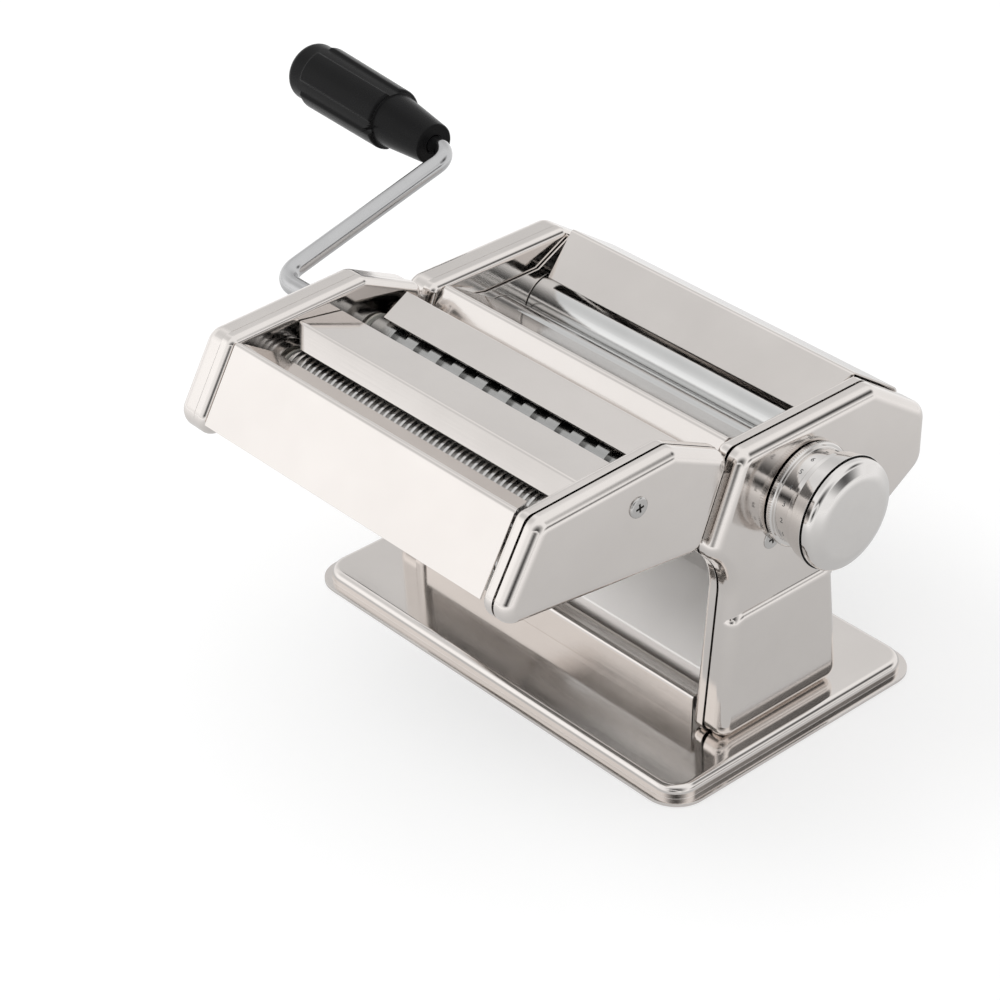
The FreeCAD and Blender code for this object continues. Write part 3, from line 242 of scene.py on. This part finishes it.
def rounded_profile(corners, steps=6):
    """Points along an outline whose corners are (x, radius from the axis, corner radius)."""
    points = []
    for i, (x, r, radius) in enumerate(corners):
        here = Vector((x, r))
        if not radius:
            points.append(here)
            continue
        back = (Vector(corners[i - 1][:2]) - here).normalized()
        ahead = (Vector(corners[(i + 1) % len(corners)][:2]) - here).normalized()
        half = back.angle(ahead) / 2.0
        centre = here + (back + ahead).normalized() * (radius / math.sin(half))
        reach = radius / math.tan(half)
        start = (here + back * reach - centre).normalized()
        end = (here + ahead * reach - centre).normalized()
        for step in range(steps + 1):
            points.append(centre + start.slerp(end, step / steps) * radius)
    return points


def turned_mesh(name, corners, y=0.0, z=0.0, segments=96):
    """Mesh of a closed outline, in millimetres, turned about an axis along X."""
    work = bmesh.new()
    points = rounded_profile(corners)
    rings = []
    for k in range(segments):
        turn = 2.0 * math.pi * k / segments
        sweep = Vector((0.0, math.cos(turn), math.sin(turn)))
        rings.append([work.verts.new((p.x * mm, (y + p.y * sweep.y) * mm, (z + p.y * sweep.z) * mm)) for p in points])
    for k in range(segments):
        this, other = rings[k], rings[(k + 1) % segments]
        for i in range(len(points)):
            j = (i + 1) % len(points)
            if points[i].y or points[j].y:
                work.faces.new((this[i], this[j], other[j], other[i]))
    bmesh.ops.remove_doubles(work, verts=work.verts, dist=1e-7)
    bmesh.ops.dissolve_degenerate(work, edges=work.edges, dist=1e-7)
    bmesh.ops.recalc_face_normals(work, faces=work.faces)
    mesh = bpy.data.meshes.new(name)
    work.to_mesh(mesh)
    work.free()
    return mesh


def evaluated_mesh(name, piece):
    """Plain mesh of an object with its modifiers; the object is taken away."""
    graph = bpy.context.evaluated_depsgraph_get()
    mesh = bpy.data.meshes.new_from_object(piece.evaluated_get(graph))
    mesh.name = name
    bpy.data.objects.remove(piece)
    return mesh


def cross_head_screw(head_height):
    """Pan head with a tapered cross recess, its seat at x = 0, on a plain shank."""
    head_radius, head_round, shank_radius, shank = 4.2, 0.85 * head_height, 1.6, 6.0
    slot_length, slot_width, slot_depth, taper = 4.8, 1.15, 0.9 * head_height, 0.6
    body = turned_mesh("screw", [(-shank, 0, 0), (-shank, shank_radius, 0), (0, shank_radius, 0), (0, head_radius, 0.1),
                                 (head_height, head_radius, head_round), (head_height, 0, 0)], segments=48)
    screw = new_piece("screw", body, screw_plate)
    cutters = []
    for quarter in range(2):
        work = bmesh.new()
        bmesh.ops.create_cube(work, size=1.0)
        for vert in work.verts:
            share = taper if vert.co.x < 0 else 1.0
            vert.co = Vector((head_height + vert.co.x * 2 * slot_depth, vert.co.y * slot_length * share,
                              vert.co.z * slot_width * share)) * mm
        bmesh.ops.rotate(work, verts=work.verts, matrix=Matrix.Rotation(math.radians(90 * quarter + 8), 3, "X"))
        mesh = bpy.data.meshes.new("recess")
        work.to_mesh(mesh)
        work.free()
        cutters.append(new_piece("recess", mesh, screw_plate))
        cut = screw.modifiers.new("recess", "BOOLEAN")
        cut.operation = "DIFFERENCE"
        cut.object = cutters[-1]
    mesh = evaluated_mesh("cross_head_screw", screw)
    for cutter in cutters:
        bpy.data.objects.remove(cutter)
    return new_piece("cross_head_screw", mesh, screw_plate)


def screw_tree():
    """Places one screw on each point; the second point's screw faces the other way."""
    tree = bpy.data.node_groups.new("screws_at_places", "GeometryNodeTree")
    tree.interface.new_socket("Geometry", in_out="INPUT", socket_type="NodeSocketGeometry")
    screw_socket = tree.interface.new_socket("Screw", in_out="INPUT", socket_type="NodeSocketObject")
    finish_socket = tree.interface.new_socket("Finish", in_out="INPUT", socket_type="NodeSocketMaterial")
    tree.interface.new_socket("Geometry", in_out="OUTPUT", socket_type="NodeSocketGeometry")
    start, end = tree.nodes.new("NodeGroupInput"), tree.nodes.new("NodeGroupOutput")
    info = node_of(tree, "GeometryNodeObjectInfo")
    index = node_of(tree, "GeometryNodeInputIndex")
    half_turn = node_of(tree, "ShaderNodeMath", operation="MULTIPLY")
    half_turn.inputs[1].default_value = math.pi
    turn = node_of(tree, "ShaderNodeCombineXYZ")
    place = node_of(tree, "GeometryNodeInstanceOnPoints")
    real = node_of(tree, "GeometryNodeRealizeInstances")
    finish = node_of(tree, "GeometryNodeSetMaterial")
    link = tree.links.new
    link(start.outputs["Geometry"], place.inputs["Points"])
    link(start.outputs["Screw"], info.inputs["Object"])
    link(info.outputs["Geometry"], place.inputs["Instance"])
    link(index.outputs[0], half_turn.inputs[0])
    link(half_turn.outputs[0], turn.inputs["Z"])
    link(turn.outputs[0], place.inputs["Rotation"])
    link(place.outputs["Instances"], real.inputs["Geometry"])
    link(real.outputs["Geometry"], finish.inputs["Geometry"])
    link(start.outputs["Finish"], finish.inputs["Material"])
    link(finish.outputs["Geometry"], end.inputs["Geometry"])
    return tree, screw_socket.identifier, finish_socket.identifier


screws_at_places, screw_input, screw_finish_input = screw_tree()
# The cross recess is painted near-black: painted shade standing in for the shadow deep inside the recess.
recess_painted_shade = worked_surface("recess_painted_shade", (0.03, 0.028, 0.026), (0.09, 0.085, 0.08), (0.35, 0.6),
                              (600.0, 600.0, 600.0), 0.00002, 0.3, metal=0.0)
recess_reach = 2.6


def place_screws(name, node, head_height, places):
    """Right-hand and left-hand screw of a pair at their seats, in millimetres."""
    screw = cross_head_screw(head_height)
    mesh = bpy.data.meshes.new(name)
    mesh.from_pydata([Vector(p) * mm for p in places], [], [])
    seats = new_piece(name, mesh, screw_plate)
    rule = seats.modifiers.new("screws", "NODES")
    rule.node_group = screws_at_places
    rule[screw_input] = screw
    rule[screw_finish_input] = screw_plate
    piece = new_piece(name, evaluated_mesh(name, seats), screw_plate)
    bpy.data.objects.remove(screw)
    # Faces inside each cross recess take the painted shade.
    piece.data.materials.append(recess_painted_shade)
    for polygon in piece.data.polygons:
        spot = polygon.center / mm
        for x, y, z in places:
            height = (spot.x - x) * math.copysign(1.0, x)
            if math.hypot(spot.y - y, spot.z - z) < recess_reach and 0.0 < height < 0.96 * head_height:
                polygon.material_index = 1
    settle(piece, node)


cover_face, drive_cover_face = 91.0, 93.6
place_screws("cover_cross_screws", "cover_screws", 0.45, [(cover_face, -7.5, 89.4), (-drive_cover_face, -7.5, 89.4)])

# Smooth rollers: two ground and polished steel rollers with gears at the crank end.
# The rear one runs in nylon bushes, the front one on sleeves round an eccentric shaft.
ground_steel = worked_surface("ground_steel", (0.66, 0.66, 0.655), (0.77, 0.77, 0.765), (0.07, 0.18),
                              (2400.0, 30.0, 30.0), 0.00003, 0.5)
nylon = worked_surface("nylon", (0.60, 0.59, 0.54), (0.74, 0.73, 0.68), (0.35, 0.55), (700.0, 700.0, 700.0), 0.00003,
                       0.12, metal=0.0)
for name in ("rear_roller", "front_roller"):
    finished_copy(name, ground_steel, 0.3 * mm)
dress(plain_steel, "rear_roller_gear", "front_roller_gear", "front_roller_sleeves", "eccentric_shaft")
dress(nylon, "rear_roller_bushes", "eccentric_bushes")

# Hopper and inner sheets: folded polished sheet between the cheeks, with a guard plate at each end.
# The scrapers are level plastic blades that lie close under the rollers.
for name in ("rear_hopper_sheet", "front_hopper_bar", "right_end_guard", "left_end_guard", "front_plinth",
             "clamp_bracket"):
    finished_copy(name, polished_stainless)
# The chute sheet is satin stainless, rougher than the polished sheet, and its lighter tone is painted light standing in
# for the light thrown up from the table under the cutter.
satin_sheet_painted_light = worked_surface("satin_sheet_painted_light", (0.86, 0.835, 0.815), (0.93, 0.905, 0.885), (0.38, 0.5),
                                 (30.0, 1400.0, 1400.0), 0.00008)
finished_copy("chute_sheet", satin_sheet_painted_light)
pale_plastic = worked_surface("pale_plastic", (0.50, 0.49, 0.46), (0.66, 0.65, 0.62), (0.35, 0.6),
                              (700.0, 700.0, 700.0), 0.00003, 0.12, metal=0.0)
dress(pale_plastic, "front_scraper", "rear_scraper")

# Slide rails: a T rail on the front edge of each stand and a hook on the cutter that wraps it.
# Both are plated steel strip, spot-welded to the pans.
for name in ("guide_rails", "slide_hooks"):
    finished_copy(name, screw_plate, 0.08 * mm)

# Setting knob: turned and polished metal with a knurled foot ring, a numbered neck and a domed cap.
# It slides on the eccentric shaft against a spring, and its pin drops into the index plate.
knob_metal = worked_surface("knob_metal", (0.70, 0.678, 0.66), (0.81, 0.788, 0.77), (0.04, 0.11),
                            (1600.0, 25.0, 25.0), 0.00003, 0.6)
knob_y, knob_z = 8.5, 102.9
knob_foot, knob_neck, knob_step, knob_flare, knob_front = 91.55, 94.2, 101.0, 104.0, 109.9
knob_boss_foot = 92.25
drum_corners = [
    (knob_foot, 20.6, 0.3), (knob_foot + 0.5, 21.0, 0.1), (knob_neck - 0.4, 21.0, 0.1), (knob_neck, 20.5, 0.15),
    (knob_neck + 0.1, 19.4, 0.3), (knob_step - 0.3, 19.4, 0.4), (knob_step, 20.3, 0.2), (knob_step + 0.3, 20.6, 0.15),
    (knob_flare - 0.6, 20.6, 0.15), (knob_flare - 0.5, 20.2, 0.1), (knob_flare - 0.1, 20.2, 0.1),
    (knob_flare, 21.6, 0.2), (knob_flare + 0.3, 21.9, 0.15), (knob_front + 0.15, 23.0, 0.1),
    (knob_front + 0.15, 22.75, 0.05), (knob_front - 0.6, 22.7, 0.0), (knob_front - 0.6, 19.6, 0.0),
    (knob_front, 19.6, 0.0), (knob_front, 0.0, 0.0), (107.7, 0.0, 0.0), (107.7, 5.05, 0.0), (knob_boss_foot, 5.05, 0.0),
    (knob_boss_foot, 8.6, 0.2), (107.7, 8.6, 0.5), (107.7, 17.2, 0.5), (knob_foot, 17.2, 0.2)]
knob_drum = new_piece("knob_drum_turned", turned_mesh("knob_drum_turned", drum_corners, knob_y, knob_z, 128), knob_metal)
cap_corners = [(knob_front, 0.0, 0.0), (knob_front, 20.4, 0.0), (110.35, 20.4, 0.0), (110.35, 21.85, 0.2),
               (110.65, 22.3, 0.2), (113.6, 22.3, 2.6), (116.4, 16.6, 8.0), (116.6, 6.0, 20.0), (116.6, 0.0, 0.0)]
knob_cap = new_piece("knob_cap_turned", turned_mesh("knob_cap_turned", cap_corners, knob_y, knob_z, 128), knob_metal)
# The groove between the drum and the cap is painted near-black: painted shade standing in for the dark deep in the
# groove.
groove_painted_shade = worked_surface("groove_painted_shade", (0.012, 0.012, 0.012), (0.03, 0.03, 0.03), (0.5, 0.7),
                              (600.0, 600.0, 600.0), 0.00002, 0.3, metal=0.0)
# Faces in the groove take the painted shade.
for piece, inner, outer in ((knob_drum, 19.5, 22.74), (knob_cap, 0.0, 21.6)):
    piece.data.materials.append(groove_painted_shade)
    for polygon in piece.data.polygons:
        spot = polygon.center / mm
        reach = math.hypot(spot.y - knob_y, spot.z - knob_z)
        if knob_front - 0.65 < spot.x < 110.65 and inner < reach < outer:
            polygon.material_index = 1
settle(knob_drum, "knob_drum")
settle(knob_cap, "knob_cap")


def knurl_tree():
    """Ring of small ridges about an axis along X."""
    tree = bpy.data.node_groups.new("knurl_ring", "GeometryNodeTree")
    tree.interface.new_socket("Geometry", in_out="INPUT", socket_type="NodeSocketGeometry")
    inputs = {}
    for label, kind in (("Ridges", "NodeSocketInt"), ("Radius", "NodeSocketFloat"), ("Ridge Size", "NodeSocketVector"),
                        ("Centre", "NodeSocketVector"), ("Finish", "NodeSocketMaterial")):
        inputs[label] = tree.interface.new_socket(label, in_out="INPUT", socket_type=kind).identifier
    tree.interface.new_socket("Geometry", in_out="OUTPUT", socket_type="NodeSocketGeometry")
    start, end = tree.nodes.new("NodeGroupInput"), tree.nodes.new("NodeGroupOutput")
    ridge = node_of(tree, "GeometryNodeMeshCone", Vertices=4, Radius_Top=0.35, Radius_Bottom=0.7, Depth=1.0)
    stand = node_of(tree, "GeometryNodeTransform", Rotation=(0.0, 0.0, math.radians(45.0)))
    outward = node_of(tree, "ShaderNodeCombineXYZ")
    points = node_of(tree, "GeometryNodeMeshLine")
    index = node_of(tree, "GeometryNodeInputIndex")
    share = node_of(tree, "ShaderNodeMath", operation="DIVIDE")
    angle = node_of(tree, "ShaderNodeMath", operation="MULTIPLY")
    angle.inputs[1].default_value = 2.0 * math.pi
    turn = node_of(tree, "ShaderNodeCombineXYZ")
    size = node_of(tree, "GeometryNodeTransform")
    place = node_of(tree, "GeometryNodeInstanceOnPoints")
    centre = node_of(tree, "GeometryNodeTransform")
    real = node_of(tree, "GeometryNodeRealizeInstances")
    finish = node_of(tree, "GeometryNodeSetMaterial")
    link = tree.links.new
    link(ridge.outputs["Mesh"], stand.inputs["Geometry"])
    link(stand.outputs["Geometry"], size.inputs["Geometry"])
    link(start.outputs["Ridge Size"], size.inputs["Scale"])
    link(start.outputs["Radius"], outward.inputs["Z"])
    link(outward.outputs[0], size.inputs["Translation"])
    link(start.outputs["Ridges"], points.inputs["Count"])
    link(index.outputs[0], share.inputs[0])
    link(start.outputs["Ridges"], share.inputs[1])
    link(share.outputs[0], angle.inputs[0])
    link(angle.outputs[0], turn.inputs["X"])
    link(points.outputs["Mesh"], place.inputs["Points"])
    link(size.outputs["Geometry"], place.inputs["Instance"])
    link(turn.outputs[0], place.inputs["Rotation"])
    link(place.outputs["Instances"], real.inputs["Geometry"])
    link(real.outputs["Geometry"], centre.inputs["Geometry"])
    link(start.outputs["Centre"], centre.inputs["Translation"])
    link(centre.outputs["Geometry"], finish.inputs["Geometry"])
    link(start.outputs["Finish"], finish.inputs["Material"])
    link(finish.outputs["Geometry"], end.inputs["Geometry"])
    points.inputs["Offset"].default_value = (0.0, 0.0, 0.0)
    return tree, inputs


knurl_ring, knurl_inputs = knurl_tree()
knurl_base = new_piece("knurl", bpy.data.meshes.new("knurl"), knob_metal)
rule = knurl_base.modifiers.new("knurl", "NODES")
rule.node_group = knurl_ring
rule[knurl_inputs["Ridges"]] = 132
rule[knurl_inputs["Radius"]] = 21.0 * mm
rule[knurl_inputs["Ridge Size"]] = (1.9 * mm, 0.62 * mm, 0.3 * mm)
rule[knurl_inputs["Centre"]] = ((knob_foot + 1.4) * mm, knob_y * mm, knob_z * mm)
rule[knurl_inputs["Finish"]] = knob_metal
knurl = new_piece("knob_knurl", evaluated_mesh("knob_knurl", knurl_base), knob_metal)
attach(knurl, "knob")

number_ink = worked_surface("number_ink", (0.08, 0.08, 0.08), (0.16, 0.16, 0.16), (0.4, 0.6), (600.0, 600.0, 600.0),
                            0.00002, 0.3, metal=0.0)
number_height, first_angle, number_step = 2.1, 112.0, 20.0
work = bmesh.new()
for count in range(9):
    text = bpy.data.curves.new("number", "FONT")
    text.body = str(count + 1)
    text.size = number_height * 1.4 * mm
    text.extrude = 0.06 * mm
    text.align_x = "CENTER"
    text.align_y = "CENTER"
    writing = bpy.data.objects.new("number", text)
    bpy.context.scene.collection.objects.link(writing)
    mesh = evaluated_mesh("number", writing)
    angle = math.radians(first_angle - number_step * count)
    for vert in mesh.vertices:
        bend = angle - vert.co.y / (19.4 * mm)
        reach = 19.4 * mm + vert.co.z
        across = vert.co.x
        vert.co = Vector((98.0 * mm + across, knob_y * mm - reach * math.sin(bend), knob_z * mm + reach * math.cos(bend)))
    work.from_mesh(mesh)
    bpy.data.meshes.remove(mesh)
    bpy.data.curves.remove(text)
bmesh.ops.recalc_face_normals(work, faces=work.faces)
mesh = bpy.data.meshes.new("knob_numbers")
work.to_mesh(mesh)
work.free()
numbers = new_piece("knob_numbers", mesh, number_ink)
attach(numbers, "knob")
dress(plain_steel, "index_plate", "index_pin")

# Cutter unit: its end plates and caps are pressed pans like the stands, held apart by tie rods.
# Nylon bushes carry the rollers, and one cross-head screw holds each cap on its post.
for side in ("right", "left"):
    finished_copy("cutter_" + side + "_plate", polished_stainless)
finished_copy("cutter_right_cap", polished_stainless)
finished_copy("cutter_left_cap", polished_stainless, rim=drive_rim, rim_seat=drive_rim_seat)
finished_copy("cutter_tie_rods", plain_steel)
place_screws("cap_cross_screws", "cap_screws", 1.0, [(90.0, -77.0, 133.4), (-92.6, -78.6, 136.4)])
dress(plain_steel, "cap_posts")
dress(nylon, "cutter_bushes")

# Cutter rollers: turned from steel bar, each with a row of discs that run between its partner's discs.
# A gear at the crank end turns the partner, and a plastic comb lifts the strips out of the gaps.
# Fine and wide rollers are the same turned steel: the fine rollers' copy is painted lighter as a painted highlight on
# the disc tips, and the wide rollers' copy is painted darker as painted shade in the wide slot.
turned_bar_painted_light = worked_surface("turned_bar_painted_light", (0.62, 0.61, 0.60), (0.78, 0.77, 0.76), (0.14, 0.28),
                                     (2600.0, 60.0, 60.0), 0.00003, 0.4)
turned_bar_painted_shade = worked_surface("turned_bar_painted_shade", (0.40, 0.40, 0.395), (0.54, 0.54, 0.53), (0.16, 0.3),
                              (2600.0, 60.0, 60.0), 0.00003, 0.4)
cutter_z, core_end, disc_zone, shaft_radius, right_end = 122.9, 74.6, 73.6, 6.2, 81.6
socket_radius, socket_depth = 4.05, 19.0


def disc_tree():
    """Row of equal discs along X, joined to the core that comes in."""
    tree = bpy.data.node_groups.new("disc_row", "GeometryNodeTree")
    tree.interface.new_socket("Geometry", in_out="INPUT", socket_type="NodeSocketGeometry")
    inputs = {}
    for label, kind in (("Disc", "NodeSocketObject"), ("Discs", "NodeSocketInt"), ("First", "NodeSocketVector"),
                        ("Pitch", "NodeSocketVector"), ("Finish", "NodeSocketMaterial")):
        inputs[label] = tree.interface.new_socket(label, in_out="INPUT", socket_type=kind).identifier
    tree.interface.new_socket("Geometry", in_out="OUTPUT", socket_type="NodeSocketGeometry")
    start, end = tree.nodes.new("NodeGroupInput"), tree.nodes.new("NodeGroupOutput")
    info = node_of(tree, "GeometryNodeObjectInfo")
    points = node_of(tree, "GeometryNodeMeshLine")
    place = node_of(tree, "GeometryNodeInstanceOnPoints")
    real = node_of(tree, "GeometryNodeRealizeInstances")
    both = node_of(tree, "GeometryNodeJoinGeometry")
    finish = node_of(tree, "GeometryNodeSetMaterial")
    link = tree.links.new
    link(start.outputs["Disc"], info.inputs["Object"])
    link(start.outputs["Discs"], points.inputs["Count"])
    link(start.outputs["First"], points.inputs["Start Location"])
    link(start.outputs["Pitch"], points.inputs["Offset"])
    link(points.outputs["Mesh"], place.inputs["Points"])
    link(info.outputs["Geometry"], place.inputs["Instance"])
    link(place.outputs["Instances"], real.inputs["Geometry"])
    link(start.outputs["Geometry"], both.inputs["Geometry"])
    link(real.outputs["Geometry"], both.inputs["Geometry"])
    link(both.outputs["Geometry"], finish.inputs["Geometry"])
    link(start.outputs["Finish"], finish.inputs["Material"])
    link(finish.outputs["Geometry"], end.inputs["Geometry"])
    return tree, inputs


disc_row, disc_inputs = disc_tree()


def cutter_roller(node, steel, y, radius, pitch, offset, left_end, socket):
    """Core with its shafts and its row of discs; a socket takes the crank at the left-hand end."""
    width = pitch / 2.0 - 0.28
    core = radius - 2.0
    count = int((2.0 * disc_zone - offset) // pitch)
    corners = [(-core_end, core, 0.2), (core_end, core, 0.2), (core_end, shaft_radius, 0.0),
               (right_end, shaft_radius, 0.3), (right_end, 0.0, 0.0)]
    if socket:
        corners += [(-left_end + socket_depth, 0.0, 0.0), (-left_end + socket_depth, socket_radius, 0.0),
                    (-left_end, socket_radius, 0.0)]
    else:
        corners += [(-left_end, 0.0, 0.0)]
    if left_end > core_end:
        corners += [(-left_end, shaft_radius, 0.3), (-core_end, shaft_radius, 0.0)]
    rim = 0.1
    disc = new_piece("disc", turned_mesh("disc", [(0, core - 0.4, 0), (0, radius - rim, 0), (rim, radius, 0),
                     (width - rim, radius, 0), (width, radius - rim, 0), (width, core - 0.4, 0)], segments=40), steel)
    bar = new_piece(node, turned_mesh(node, corners, segments=48), steel)
    rule = bar.modifiers.new("discs", "NODES")
    rule.node_group = disc_row
    rule[disc_inputs["Disc"]] = disc
    rule[disc_inputs["Discs"]] = count
    rule[disc_inputs["First"]] = ((-disc_zone + offset) * mm, 0.0, 0.0)
    rule[disc_inputs["Pitch"]] = (pitch * mm, 0.0, 0.0)
    rule[disc_inputs["Finish"]] = steel
    mesh = evaluated_mesh(node + "_turned", bar)
    bpy.data.objects.remove(disc)
    mesh.transform(Matrix.Translation((0.0, y * mm, cutter_z * mm)))
    piece = new_piece(node + "_turned", mesh, steel)
    settle(piece, node)


cutter_roller("fine_front_roller", turned_bar_painted_light, -115.5, 11.0, 3.0, 0.0, core_end, False)
cutter_roller("fine_rear_roller", turned_bar_painted_light, -94.9, 11.0, 3.0, 1.5, 86.0, False)
cutter_roller("wide_front_roller", turned_bar_painted_shade, -73.0, 10.0, 13.0, 0.0, 86.0, False)
cutter_roller("wide_rear_roller", turned_bar_painted_shade, -54.4, 10.0, 13.0, 6.5, 89.6, True)
dress(turned_bar_painted_light, "fine_drive_stub")
dress(plain_steel, "fine_front_gear", "fine_rear_gear", "wide_front_gear", "wide_rear_gear")
dress(pale_plastic, "fine_front_comb", "fine_rear_comb", "wide_front_comb", "wide_rear_comb")

# Cutter covers: three folded sheets between the end plates, with the two feed slots between them.
# They are cut from the same polished sheet and spot-welded to the plates.
for place in ("front", "middle", "rear"):
    finished_copy("cutter_" + place + "_cover", polished_stainless)

# Crank: a bent and plated steel rod with flattened ears that drive the socket.
# The moulded grip turns on its far end and is kept on by a riveted washer.
black_plastic = worked_surface("black_plastic", (0.004, 0.004, 0.0042), (0.007, 0.007, 0.0074), (0.2, 0.32),
                               (1400.0, 1400.0, 1400.0), 0.00004, 0.12, metal=0.0, bending=1.2)
rod_steel = worked_surface("rod_steel", (0.48, 0.48, 0.485), (0.58, 0.58, 0.585), (0.09, 0.17), (300.0, 300.0, 300.0),
                           0.00002, 0.5, smudge=80.0)
dress(rod_steel, "crank_rod")
finished_copy("crank_grip", black_plastic, 0.4 * mm)
finished_copy("grip_rivet", screw_plate, 0.2 * mm)

# Studio: a white floor, soft light from above and the left, and cards that only the metal sees.
# The cards give the polished sheet something grey and dark to mirror, as black flags do.


def background_rays(tree):
    """One where a ray from the camera, a mirror or a glass meets the surface, and nought elsewhere."""
    rays = node_of(tree, "ShaderNodeLightPath")
    first = node_of(tree, "ShaderNodeMath", operation="MAXIMUM")
    second = node_of(tree, "ShaderNodeMath", operation="MAXIMUM")
    tree.links.new(rays.outputs["Is Camera Ray"], first.inputs[0])
    tree.links.new(rays.outputs["Is Glossy Ray"], first.inputs[1])
    tree.links.new(first.outputs[0], second.inputs[0])
    tree.links.new(rays.outputs["Is Transmission Ray"], second.inputs[1])
    return second.outputs[0]


bpy.ops.mesh.primitive_plane_add(size=40.0)
floor = bpy.context.object
floor.name = "floor"
paper = bpy.data.materials.new("white_paper")
paper.use_nodes = True
tree = paper.node_tree
tree.nodes.clear()
glow_level = node_of(tree, "ShaderNodeMath", operation="MULTIPLY")
glow_level.inputs[1].default_value = 0.5
matt = node_of(tree, "ShaderNodeBsdfDiffuse", Color=(0.55, 0.55, 0.55, 1.0))
glow = node_of(tree, "ShaderNodeEmission", Color=(1.0, 1.0, 1.0, 1.0))
both = node_of(tree, "ShaderNodeAddShader")
out = node_of(tree, "ShaderNodeOutputMaterial")
tree.links.new(background_rays(tree), glow_level.inputs[0])
tree.links.new(glow_level.outputs[0], glow.inputs["Strength"])
tree.links.new(matt.outputs[0], both.inputs[0])
tree.links.new(glow.outputs[0], both.inputs[1])
tree.links.new(both.outputs[0], out.inputs["Surface"])
floor.data.materials.append(paper)

world = bpy.data.worlds.new("studio")
bpy.context.scene.world = world
world.use_nodes = True
tree = world.node_tree
level = node_of(tree, "ShaderNodeMapRange", To_Min=0.85, To_Max=1.0)
background = tree.nodes["Background"]
background.inputs["Color"].default_value = (1.0, 1.0, 1.0, 1.0)
tree.links.new(background_rays(tree), level.inputs["Value"])
tree.links.new(level.outputs["Result"], background.inputs["Strength"])


def direction(azimuth, elevation):
    """Unit vector from the machine towards a compass angle, 0 in front and 90 on the right, and a height angle."""
    a, e = math.radians(azimuth), math.radians(elevation)
    return Vector((math.sin(a) * math.cos(e), -math.cos(a) * math.cos(e), math.sin(e)))


def studio_card(name, centre, facing, width, height, shade):
    """Oval card that only mirrors see, of one grey in the middle and fading to white at its edge."""
    turn = facing.to_track_quat("Z", "Y").to_matrix()
    mesh = bpy.data.meshes.new(name)
    corners = [(-1.0, -1.0), (1.0, -1.0), (1.0, 1.0), (-1.0, 1.0)]
    mesh.from_pydata([centre + turn @ Vector((a * width / 2.0, b * height / 2.0, 0.0)) for a, b in corners], [],
                     [(0, 1, 2, 3)])
    for spot, corner in zip(mesh.uv_layers.new(name="spread").data, corners):
        spot.uv = corner
    material = bpy.data.materials.new(name)
    material.use_nodes = True
    tree = material.node_tree
    shader = tree.nodes["Principled BSDF"]
    shader.inputs["Base Color"].default_value = (0.0, 0.0, 0.0, 1.0)
    shader.inputs["Specular IOR Level"].default_value = 0.0
    shader.inputs["Emission Strength"].default_value = 1.0
    place = node_of(tree, "ShaderNodeTexCoord")
    oval = node_of(tree, "ShaderNodeTexGradient", gradient_type="SPHERICAL")
    fade = node_of(tree, "ShaderNodeMapRange", interpolation_type="SMOOTHSTEP", To_Min=1.0,
                   To_Max=shade)
    tree.links.new(place.outputs["UV"], oval.inputs["Vector"])
    tree.links.new(oval.outputs["Fac"], fade.inputs["Value"])
    tree.links.new(fade.outputs["Result"], shader.inputs["Emission Color"])
    mesh.materials.append(material)
    card = bpy.data.objects.new(name, mesh)
    bpy.context.scene.collection.objects.link(card)
    card.visible_camera = False
    card.visible_diffuse = False
    card.visible_shadow = False
    card.visible_transmission = False


middle = Vector((0.0, -0.03, 0.09))
for name, azimuth, elevation, distance, width, height, shade in (
        ("camera_side_card", 50, 27, 1.5, 3.2, 2.6, 0.04),
        ("back_left_card", 230, 27, 1.4, 2.8, 1.6, 0.70),
        ("top_left_card", -67, 50, 1.4, 1.8, 1.5, 0.72),
        ("back_right_card", 142, 34, 1.3, 1.2, 1.0, 0.05),
        ("front_left_card", -45, 16, 1.4, 2.4, 1.2, 1.22),
        ("right_low_card", 116, 9, 1.4, 1.3, 0.55, 0.1),
        ("front_right_low_card", 36, 9, 1.4, 1.7, 0.9, 0.02)):
    studio_card(name, middle + direction(azimuth, elevation) * distance, -direction(azimuth, elevation), width, height, shade)
upwards = Vector((0.0, 0.0, 1.0))
studio_card("floor_shade_card", Vector((0.05, 0.0, 0.0003)), upwards, 1.3, 1.3, 0.58)

key_data = bpy.data.lights.new("soft_key", "AREA")
key_data.energy = 10.0
key_data.size = 1.0
key = bpy.data.objects.new("soft_key", key_data)
bpy.context.scene.collection.objects.link(key)
key.location = (-0.9, -0.9, 1.5)
key.visible_glossy = False
key.rotation_euler = (Vector(key.location) - middle).to_track_quat("Z", "Y").to_euler()

back = direction(47.59, 33.19)
camera_data = bpy.data.cameras.new("camera")
camera_data.lens = 111.66
camera_data.sensor_width = 36.0
camera = bpy.data.objects.new("camera", camera_data)
bpy.context.scene.collection.objects.link(camera)
camera.location = Vector((0.00021, -0.06005, 0.08561)) + back * 1.1697
camera.rotation_euler = back.to_track_quat("Z", "Y").to_euler()
bpy.context.scene.camera = camera
bpy.context.scene.view_settings.view_transform = "Standard"
